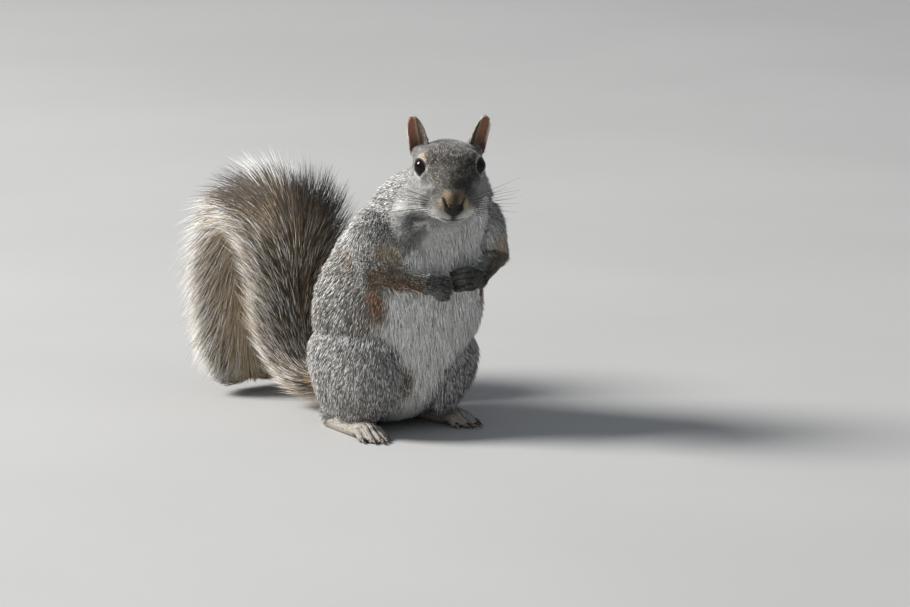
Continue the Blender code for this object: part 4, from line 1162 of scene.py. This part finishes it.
def tail_lines(draw, where, angle, lateral, extent, stray):
    """Each hair's start, the place its curve bends towards and its end, and its way out of the tail."""
    count = len(where)
    sweep = draw.normal(31, 6, count) * MM * (0.7 + 0.3 * lateral)
    tip_at = np.minimum(where + sweep * extent, Tail.length - draw.uniform(0, 7, count) * MM)
    tip_at = np.maximum(tip_at, where + 1.0 * MM)
    turn = angle + 0.12 * draw.standard_normal(count)
    middle = Tail.look(Tail.middle, where)
    start = middle + unit(Tail.around(where, angle)) * (2.5 * MM)
    radial = Tail.around(tip_at, turn)
    end = Tail.look(Tail.middle, tip_at) + radial * extent[:, None]
    end += draw.standard_normal((count, 3)) * (1.3 * MM)

    row = np.round(where / (5.5 * MM)).astype(int)
    column = np.round((angle + 0.4 * noise(middle, 9 * MM, 31)) * 4.6).astype(int)
    _, group = np.unique(row * 97 + column + (extent > 0.85) * 7919, return_inverse=True)
    size = np.bincount(group)
    gathered = np.stack([np.bincount(group, end[:, k]) / size for k in range(3)], 1)[group]
    end += (gathered - end) * (draw.uniform(0.0, 0.6, count) * ~stray)[:, None]
    end[:, 2] = np.maximum(end[:, 2], draw.uniform(TAIL_FLOOR, 3.0, count) * MM)
    farthest = at(TAIL_LIMIT, 0, 0)[0]
    end[:, 0] = np.maximum(end[:, 0], farthest + draw.uniform(0.0, 3.0, count) * MM)

    span = np.linalg.norm(end - start, axis=1)
    outward = unit(radial)
    control = start + unit(Tail.look(Tail.tangent, where) * 0.55 + outward * 0.9) * (span * 0.5)[:, None]
    return start, control, end, outward


def tail_colours(draw, where, lateral, ventral, dorsal, extent, height):
    """Each hair's colour along its length and at its tip, and from 0 to 1 how far it's in the pale fringe."""
    count = len(where)
    tone = np.clip(1 + 0.22 * draw.standard_normal(count), 0.55, 1.5)[:, None]
    luck = draw.random((2, count))
    base = mix(mix(TAN, BUFF, 0.6)[None], mix(GREY, BROWN_GREY, 0.5)[None], draw.uniform(0.0, 0.45, count))
    # The tail's underside and its falling part are made paler: partly their own paler hair, partly painted
    # light where they lie in shade.
    falling = 0.45 * smooth_between(0.62, 0.75, where / Tail.length)
    paler_and_lit = np.maximum(ventral, falling) * draw.uniform(0.5, 1.0, count)
    base = mix(base, mix(BUFF, CREAM, 0.6)[None], paler_and_lit)
    base = mix(base, DARK[None], (luck[0] < 0.24 * (1 - ventral) + 0.03) * 0.7)
    rim = lateral * smooth_between(0.7, 0.95, extent)
    top = smooth_between(120, 132, height)
    fringe = smooth_between(143, 150, height)
    chance = 0.26 + 0.42 * rim - 0.15 * ventral
    white = (luck[1] < chance * (1 - top) + 0.9 * fringe * top) * 1.0
    dark_tip = mix(base, DARK[None], np.maximum(0.65 * dorsal, top * 0.95))
    tip_colour = mix(dark_tip, mix(WHITE, PALE_GREY, 0.45)[None], white * 0.95)
    band = (0.35 + 0.6 * lateral * (extent > 0.75) - 0.55 * ventral + 0.2 * draw.standard_normal(count)
            + 0.8 * top)
    return held(base * tone, np.zeros(count)), held(tip_colour * np.sqrt(tone), np.clip(band, 0, 1)), fringe


def tail_coat():
    """Long banded hairs from the bone to the brush's surface, sweeping towards the tip."""
    draw = np.random.default_rng([SEED, 2])
    tries = TAIL_TRIES
    where = draw.uniform(0.02, 0.985, tries) * Tail.length
    where = where[draw.random(tries) < 0.12 + 0.38 * Tail.look(Tail.brush, where)[:, 0] / (45 * MM)]
    count = len(where)
    angle = draw.uniform(-math.pi, math.pi, count)
    lateral = np.abs(np.cos(angle))
    ventral = smooth_between(-0.15, -0.6, np.sin(angle))
    dorsal = smooth_between(0.15, 0.6, np.sin(angle))
    extent, stray = tail_reach(draw, where, lateral, dorsal)
    start, control, end, outward = tail_lines(draw, where, angle, lateral, extent, stray)
    low, tip, fringe = tail_colours(draw, where, lateral, ventral, dorsal, extent, end[:, 2] / MM)
    width = draw.uniform(0.32, 0.52, count) * MM * (1 - 0.25 * ventral) * (1 - 0.3 * fringe)
    up = unit(outward + 0.15 * draw.standard_normal((count, 3)))
    pieces = []
    for label, long, shares, tapers in (("guard", True, (0.0, 0.42, 0.78, 1.0), (0.75, 1.0, 0.7)),
                                        ("under", False, (0.0, 0.55, 1.0), (0.8, 1.0))):
        stations = [start * (1 - t) ** 2 + control * 2 * t * (1 - t) + end * t * t for t in shares]
        path = np.stack(stations, axis=1)
        path[:, 1:, 2] = np.maximum(path[:, 1:, 2], TAIL_FLOOR * MM)
        own = np.flatnonzero((extent > 0.8) == long)
        own = own[np.argsort(where[own], kind="stable")]
        for number, part in enumerate(np.array_split(own, len(TAILS)), 1):
            along = (where[part] - where[part].min()) / np.ptp(where[part])
            spot = np.stack([angle[part] / (2 * math.pi) + 0.5, along], 1) * (1 - 2 * PATCH) + PATCH
            piece = tuft_mesh(f"coat_tail_{number}_{label}", path[part], up[part], width[part], tapers,
                              low[part], tip[part], spot, flat=0.5, soften=0.55, tilt=0.0)
            pieces.append((piece, "tail"))
    return pieces


# ---------------------------------------------------------------- eyes, lids, nose, claws, whiskers

def make_eye(side):
    centre, facing = eye_frame(1 if side == "l" else -1)
    bm = bmesh.new()
    bmesh.ops.create_icosphere(bm, subdivisions=5, radius=EYE_RADIUS * MM)
    for vert in bm.verts:
        towards = float(np.dot(unit(np.array(vert.co)), facing))
        vert.co *= 1 + 0.03 * max(towards, 0) ** 3                  # the cornea's slight bulge
    bmesh.ops.translate(bm, verts=bm.verts, vec=Vector(centre))
    eye = bmesh_object("eyeball_" + side, bm)
    shade_smooth(eye.data)
    points = mesh_points(eye.data) - centre
    turn = np.degrees(np.arccos(np.clip(unit(points) @ facing, -1, 1)))
    iris = mix(linear(9, 7, 6)[None], linear(26, 17, 12)[None], smooth_between(28, 46, turn))
    paint(eye.data, "ground", iris)
    return eye


def make_lids(side):
    """An almond rim that rises round the eye, dark at the edge and pale outside."""
    centre, facing = eye_frame(1 if side == "l" else -1)
    upward = head_direction(0, 0, 1)
    upward = unit(upward - facing * (upward @ facing))
    ahead = np.cross(upward, facing)
    if ahead @ head_direction(0, 1, 0) < 0:
        ahead = -ahead
    turns = np.linspace(0, 2 * math.pi, 72, endpoint=False)
    edge, between, outside = linear(22, 17, 14), linear(70, 58, 48), linear(222, 204, 174)
    # Degrees beyond the opening, mm from the eye's centre, and colour
    profile = [(-5.0, 5.3, edge), (-2.5, 5.75, edge), (0.5, 6.12, edge), (3.5, 6.22, between),
               (8.0, 6.2, outside), (14.0, 6.05, outside), (20.0, 5.6, outside)]
    rings, colours = [], []
    for beyond, reach, shade in profile:
        ring = []
        for turn in turns:
            c, s = math.cos(turn), math.sin(turn)
            corner = 7.0 * max(c, 0) ** 8 + 4.0 * max(-c, 0) ** 8
            low = -0.16 * c
            angle = math.radians(LID_OPENING - 2.5 + corner + beyond)
            way = ahead * c + upward * (s + low * abs(c) ** 4)
            way = way / np.linalg.norm(way)
            ring.append(centre + (facing * math.cos(angle) + way * math.sin(angle)) * reach * MM)
            colours.append(shade)
        rings.append(ring)
    points, faces = loft(rings, False, False)
    lids = mesh_object("lids_" + side, points, faces)
    paint(lids.data, "ground", np.array(colours))
    bm = bmesh.new()
    bm.from_mesh(lids.data)
    bmesh.ops.recalc_face_normals(bm, faces=bm.faces)
    outward = sum(face.normal @ (face.calc_center_median() - Vector(centre)) for face in bm.faces)
    if outward < 0:
        bmesh.ops.reverse_faces(bm, faces=bm.faces)
    bm.to_mesh(lids.data)
    bm.free()
    wall = lids.modifiers.new("wall", "SOLIDIFY")
    wall.thickness = 0.25 * MM
    wall.offset = -1.0
    return lids


def make_nose():
    """The nose's leather: comma-shaped nostrils in its upper corners, and a cleft down the middle."""
    bm = bmesh.new()
    bmesh.ops.create_icosphere(bm, subdivisions=6, radius=1.0)
    nose = bmesh_object("nose_leather", bm)
    p = mesh_points(nose.data)
    x, f, z = p[:, 0], -p[:, 1], p[:, 2]
    side, front = np.abs(x), f > 0
    wing = np.exp(-(((side - 0.70) / 0.24) ** 2 + ((z - 0.38) / 0.30) ** 2)) * front
    slit = np.exp(-(((side - 0.50) / 0.20) ** 2 + ((z - 0.22 - 0.45 * (side - 0.5)) / 0.10) ** 2)) * front
    comma = np.exp(-(((side - 0.72) / 0.08) ** 2 + ((z - 0.46) / 0.20) ** 2)) * front
    nostril = np.clip(slit + 0.9 * comma, 0, 1)
    cleft = np.exp(-(x / 0.06) ** 2) * smooth_between(0.25, 0.05, z) * front
    swell = 1 + 0.10 * wing - 0.26 * nostril - 0.12 * cleft + 0.008 * noise(p, 0.09, 41)
    p = p * swell[:, None]
    p[:, 0] *= 1 - 0.32 * smooth_between(0.0, -1.0, p[:, 2])
    local = p * np.array(NOSE_SIZE) + np.array((NOSE_AT[0], -NOSE_AT[1], NOSE_AT[2]))
    set_points(nose.data, local @ HEAD_TURN.T * MM + np.array(HEAD.translation))
    pale = smooth_between(0.35, 0.9, z + 0.10 * noise(p, 0.25, 42))
    colour = mix(linear(22, 18, 16)[None], linear(60, 48, 38)[None], pale)
    colour = mix(colour, linear(8, 7, 6)[None], np.clip(nostril * 1.3 + cleft, 0, 1))
    paint(nose.data, "ground", colour)
    shade_smooth(nose.data)
    return nose


def curved_cone(points, radii, sides=8):
    """A tapering tube along a curve, closed at both ends."""
    points = np.asarray(points, dtype=float)
    along = unit(np.gradient(points, axis=0))
    helper = np.array((0.31, 0.17, 0.93))
    one = unit(np.cross(along, helper))
    two = np.cross(along, one)
    angles = np.linspace(0, 2 * math.pi, sides, endpoint=False)
    rings = [[p + (a * math.cos(t) + b * math.sin(t)) * r for t in angles]
             for p, a, b, r in zip(points, one, two, radii)]
    return loft(rings)


def merged(name, shapes):
    points, faces, total = [], [], 0
    for p, f in shapes:
        points.append(p)
        faces.append(f + total)
        total += len(p)
    return mesh_object(name, np.concatenate(points), np.concatenate(faces))


def arc(start, middle, end, count=7):
    t = np.linspace(0, 1, count)[:, None]
    start, middle, end = (np.array(v) for v in (start, middle, end))
    return start * (1 - t) ** 2 + 2 * middle * t * (1 - t) + end * t * t


def make_claws(side):
    """Curved claws at the tips of the toes and of the curled fingers."""
    heel, ahead, across = foot_frame(side)
    shapes = []
    for toe in range(-2, 3):
        base = TOE_BASE - 1.1 * abs(toe) ** 1.5
        length = FOOT_LENGTH - CLAW_REACH - 2.6 * abs(toe) ** 1.6 - base
        line = arc(*[heel + (ahead * (base + length * share) + across * toe * (TOE_PITCH + share)
                             + np.array((0.0, 0.0, up))) * MM
                     for share, up in ((0.93, 2.5), (1.14, 4.0), (1.34, 0.35))])
        shapes.append(curved_cone(line, np.array((0.95, 0.88, 0.78, 0.66, 0.5, 0.3, 0.08)) * MM))
    wrist, along, across, back = hand_frame(side)
    for finger in range(4):
        reach = 13.5 - 0.9 * abs(finger - 1.4)
        sideways = across * (finger - 1.5) * FINGER_PITCH
        line = arc(*[wrist + (along * (reach + beyond) + sideways * sway + back * out) * MM
                     for beyond, sway, out in ((2.4, 0.88, -6.6), (1.0, 0.87, -9.6), (-3.0, 0.85, -8.9))])
        shapes.append(curved_cone(line, np.array((0.8, 0.74, 0.65, 0.55, 0.42, 0.26, 0.07)) * MM))
    return merged("claws_" + side, shapes)


def make_whiskers(skin):
    """Stiff dark hairs in rows on the pads, with a few over the eyes and under the chin."""
    draw = np.random.default_rng([SEED, 3])
    tree = BVHTree.FromPolygons([tuple(p) for p in mesh_points(skin.data)],
                                [tuple(t) for t in read(skin.data.loop_triangles, "vertices", 3, np.int32)])
    shapes = []
    for sign in (1, -1):
        hairs, brows, chin = [], [], []
        for row in range(4):
            for column in range(5):
                forward = 22.4 - 1.7 * column + 0.3 * row
                up = -14.6 - 2.0 * row + 0.35 * column
                length = 12 + 4.6 * column + 2.5 * draw.random()
                way = (sign, 0.35 - 0.17 * column, 0.30 - 0.17 * row + 0.06 * draw.standard_normal())
                hairs.append(((sign * 30, forward, up), (-sign, 0, 0), way, length, 0.12))
        for k in range(3):
            over_eye = (sign * (8 + 2 * k), 6 - 2 * k, 30)
            under_chin = (sign * (2 + 2.5 * k), 17 - 3 * k, -45)
            brows.append((over_eye, (0, 0, -1), (sign * 0.7, -0.1, 0.9), 14 + 3 * k, 0.09))
            chin.append((under_chin, (0, 0, 1), (sign * 0.4, 0.1, -0.8), 8 + k, 0.08))
        for origin, towards, way, length, radius in hairs + brows + chin:
            hit = tree.ray_cast(head_point(*origin), Vector(head_direction(*towards)).normalized())
            if hit[0] is None:
                continue
            root = np.array(hit[0])
            out = unit(head_direction(*way))
            droop = np.array((0, 0, -1.0))
            bend = unit(out + droop * draw.uniform(0.02, 0.2)
                        + head_direction(0, -1, 0) * draw.uniform(0.05, 0.3))
            line = arc(root - out * 0.5 * MM, root + out * length * 0.5 * MM,
                       root + (out * 0.5 + bend * 0.5) * length * MM, 8)
            thick = np.interp(np.linspace(0, 1, 8), (0, 0.5, 1), (radius, radius * 0.7, radius * 0.15)) * MM
            shapes.append(curved_cone(line, thick, 4))
    return merged("whiskers", shapes)


# ---------------------------------------------------------------- materials

class Nodes:
    """Short ways to add and join shader nodes."""

    def __init__(self, name):
        self.material = bpy.data.materials.new(name)
        self.material.use_nodes = True
        self.tree = self.material.node_tree
        self.shader = self.tree.nodes["Principled BSDF"]

    def add(self, kind, **settings):
        node = self.tree.nodes.new(kind)
        for key, value in settings.items():
            setattr(node, key, value)
        return node

    def fill(self, node, values):
        """Gives a node's inputs their numbers and colours, and joins the outputs of other nodes to them."""
        for key, value in values.items():
            if isinstance(value, (float, tuple)):
                node.inputs[key].default_value = value
            else:
                self.tree.links.new(value, node.inputs[key])

    def painted(self, layer):
        """The outputs of a layer of colour painted on the mesh."""
        return self.add("ShaderNodeAttribute", attribute_name=layer).outputs

    def ramp(self, value, low, high, out_low=0.0, out_high=1.0):
        node = self.add("ShaderNodeMapRange", interpolation_type="SMOOTHSTEP")
        self.fill(node, {"Value": value, "From Min": low, "From Max": high, "To Min": out_low,
                         "To Max": out_high})
        return node.outputs["Result"]

    def mottle(self, value, low=0.0, high=1.0):
        """Stretches a noise's middle values to run from low to high."""
        return self.ramp(value, 0.3, 0.7, low, high)

    def blend(self, share, a, b, mode="MIX"):
        node = self.add("ShaderNodeMix", data_type="RGBA", blend_type=mode)
        self.fill(node, {0: share, 6: a, 7: b})
        return node.outputs[2]

    def product(self, a, b):
        node = self.add("ShaderNodeMath", operation="MULTIPLY")
        self.fill(node, {0: a, 1: b})
        return node.outputs[0]

    def noise(self, scale, detail=3.0, roughness=0.5):
        place = self.add("ShaderNodeTexCoord")
        node = self.add("ShaderNodeTexNoise")
        self.fill(node, {"Vector": place.outputs["Object"], "Scale": scale, "Detail": detail,
                         "Roughness": roughness})
        return node.outputs["Fac"]

    def finish(self, colour, rough, bump, **sockets):
        """The finished material. rough is scale, low and high; bump is height, strength and distance."""
        scale, low, high = rough
        height, strength, distance = bump
        node = self.add("ShaderNodeBump")
        self.fill(node, {"Strength": strength, "Distance": distance, "Height": height})
        named = {key.replace("_", " "): value for key, value in sockets.items()}
        self.fill(self.shader, {"Base Color": colour, "Roughness": self.mottle(self.noise(scale), low, high),
                                "Normal": node.outputs["Normal"], **named})
        return self.material


def coat_material(name, band_low, band_high, sheen):
    """Hair colour that runs from a dusky root through the ground colour and a dark band to the tip."""
    n = Nodes(name)
    ground, tip = n.painted("ground"), n.painted("tip")
    share = ground["Alpha"]
    dusk = n.blend(n.ramp(share, 0.0, 0.5, 0.55, 0.0), ground["Color"], (0.10, 0.085, 0.07, 1.0))
    rise = n.ramp(share, band_low, band_low + 0.12)
    fall = n.ramp(share, band_high, band_high + 0.10)
    band = n.product(n.product(rise, tip["Alpha"]), 0.9)
    banded = n.blend(band, dusk, (*[float(v) for v in DARK], 1.0))
    tipped = n.blend(fall, banded, tip["Color"])
    colour = n.blend(1.0, tipped, n.mottle(n.noise(900.0, 2.0), 0.86, 1.1), "MULTIPLY")
    return n.finish(colour, (420.0, 0.55, 0.8), (n.noise(2600.0, 2.0), 0.25, 0.0002),
                    Sheen_Weight=sheen, Sheen_Roughness=0.4, Specular_IOR_Level=0.35)


def skin_material():
    """Short underfur on skin: the markings, darker in the hollows of a fine grain."""
    n = Nodes("underfur_skin")
    grain = n.noise(1500.0, 4.0, 0.65)
    shade = n.ramp(grain, 0.35, 0.65, 0.72, 1.08)
    colour = n.blend(1.0, n.painted("ground")["Color"], shade, "MULTIPLY")
    return n.finish(colour, (500.0, 0.6, 0.85), (grain, 0.5, 0.0004), Specular_IOR_Level=0.3)


def painted_material(name, rough_low, rough_high, grain, strength, specular=0.5):
    n = Nodes(name)
    speck = n.noise(grain, 3.0)
    colour = n.blend(1.0, n.painted("ground")["Color"], n.mottle(speck, 0.85, 1.15), "MULTIPLY")
    return n.finish(colour, (grain * 0.6, rough_low, rough_high), (speck, strength, 0.0002),
                    Specular_IOR_Level=specular)


def horn_material(name, dark, light, scale):
    n = Nodes(name)
    streak = n.noise(scale, 4.0)
    colour = n.blend(n.mottle(streak), (*dark, 1.0), (*light, 1.0))
    return n.finish(colour, (scale * 1.7, 0.25, 0.5), (streak, 0.2, 0.0001))


def floor_material():
    n = Nodes("pale_floor")
    colour = n.blend(n.mottle(n.noise(3.0, 4.0)), (0.395, 0.395, 0.392, 1.0), (0.415, 0.415, 0.411, 1.0))
    return n.finish(colour, (40.0, 0.85, 0.95), (n.noise(300.0), 0.05, 0.0002), Specular_IOR_Level=0.08)


# ---------------------------------------------------------------- putting it together

SLOTS = {"head": "grey_fur", "neck": "grey_fur", "trunk": "grey_fur", "upper_arm": "grey_fur",
         "thigh": "grey_fur", "shank": "grey_fur", "hind_foot": "grey_fur", "forearm": "rust_fur",
         "forepaw": "rust_fur", "ear": "ear_skin", "tail": "tail_fur"}

fur = coat_material("short_fur", 0.50, 0.72, 0.25)
long_fur = coat_material("tail_hair", 0.52, 0.72, 0.15)


def place(piece, material, slot, *nodes):
    piece.data.materials.clear()
    piece.data.materials.append(material)
    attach(piece, "root")
    if nodes:
        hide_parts(*nodes)


skin = make_skin()
surface = Surface(skin)
shadow = np.where(KINDS[surface.marks] == "ear", 1.0, 0.62)[:, None]
paint(skin.data, "ground", Coat(surface.points, surface.normals, surface.marks).ground * shadow)
place(skin, skin_material(), "grey_fur", *FLESH, *EARS, *TAILS)

for layer in (0, 1):
    for piece, kind in body_coat(surface, layer):
        place(piece, fur, SLOTS[kind])
for piece, kind in tail_coat():
    place(piece, long_fur, SLOTS[kind])

glossy = painted_material("eye_gloss", 0.04, 0.08, 900.0, 0.02, 0.22)
lid_skin = painted_material("lid_skin", 0.35, 0.6, 2500.0, 0.3)
leather = painted_material("nose_leather", 0.4, 0.6, 3200.0, 0.6, 0.35)
horn = horn_material("claw_horn", (0.02, 0.015, 0.012), (0.07, 0.05, 0.035), 1400.0)
bristle = horn_material("whisker_hair", (0.012, 0.010, 0.009), (0.03, 0.025, 0.02), 2000.0)
for side in ("l", "r"):
    place(make_eye(side), glossy, "eye", "eye_" + side)
    place(make_lids(side), lid_skin, "ear_skin")
    place(make_claws(side), horn, "nose")
place(make_nose(), leather, "nose", "nose")
place(make_whiskers(skin), bristle, "nose")


# ---------------------------------------------------------------- floor, light and camera

bpy.ops.mesh.primitive_plane_add(size=9.0, location=(0, 0, 0))
floor = bpy.context.object
floor.name = "floor"
floor.data.materials.append(floor_material())

scene = bpy.context.scene
world = bpy.data.worlds.new("studio")
scene.world = world
world.use_nodes = True
world.node_tree.nodes["Background"].inputs["Color"].default_value = (0.86, 0.92, 1.0, 1.0)
world.node_tree.nodes["Background"].inputs["Strength"].default_value = 0.33
scene.view_settings.view_transform = "Standard"

AZIMUTH, ELEVATION = math.radians(-38.0), math.radians(11.0)
DISTANCE = 3.0                       # metres, of the camera from its target
VIEW_WIDTH = 0.546                   # metres across the picture at the animal
TARGET_RIGHT, TARGET_UP = 0.0366, 0.0729    # metres in the picture, from the origin of the places
LIT_HEIGHT = 0.09                    # metres above the floor, where the lamps aim
back = Vector((math.sin(AZIMUTH) * math.cos(ELEVATION), -math.cos(AZIMUTH) * math.cos(ELEVATION),
               math.sin(ELEVATION)))
right = Vector((math.cos(AZIMUTH), math.sin(AZIMUTH), 0.0))
upward = back.cross(right)


def area_light(name, place_at, size, watts, colour):
    lamp = bpy.data.lights.new(name, "AREA")
    lamp.shape = "DISK"
    lamp.size = size
    lamp.energy = watts
    lamp.color = colour
    obj = add_object(name, lamp)
    obj.location = place_at
    aim = Vector((0, 0, LIT_HEIGHT)) - Vector(place_at)
    obj.rotation_mode = "QUATERNION"
    obj.rotation_quaternion = aim.to_track_quat("-Z", "Y")


ground_back = Vector((back.x, back.y, 0)).normalized()
area_light("key", right * -3.5 + ground_back * 0.15 + Vector((0, 0, 2.8)), 1.8, 415.0, (1.0, 0.98, 0.95))
area_light("fill", right * -0.3 + ground_back * 3.0 + Vector((0, 0, 1.6)), 2.4, 6.0, (0.94, 0.97, 1.0))

camera = add_object("camera", bpy.data.cameras.new("camera"))
target = at(0, 0, 0) + right * TARGET_RIGHT + upward * TARGET_UP
camera.location = target + back * DISTANCE
camera.rotation_mode = "QUATERNION"
camera.rotation_quaternion = back.to_track_quat("Z", "Y")
camera.data.lens = camera.data.sensor_width * DISTANCE / VIEW_WIDTH
camera.data.clip_end = 20.0
scene.camera = camera
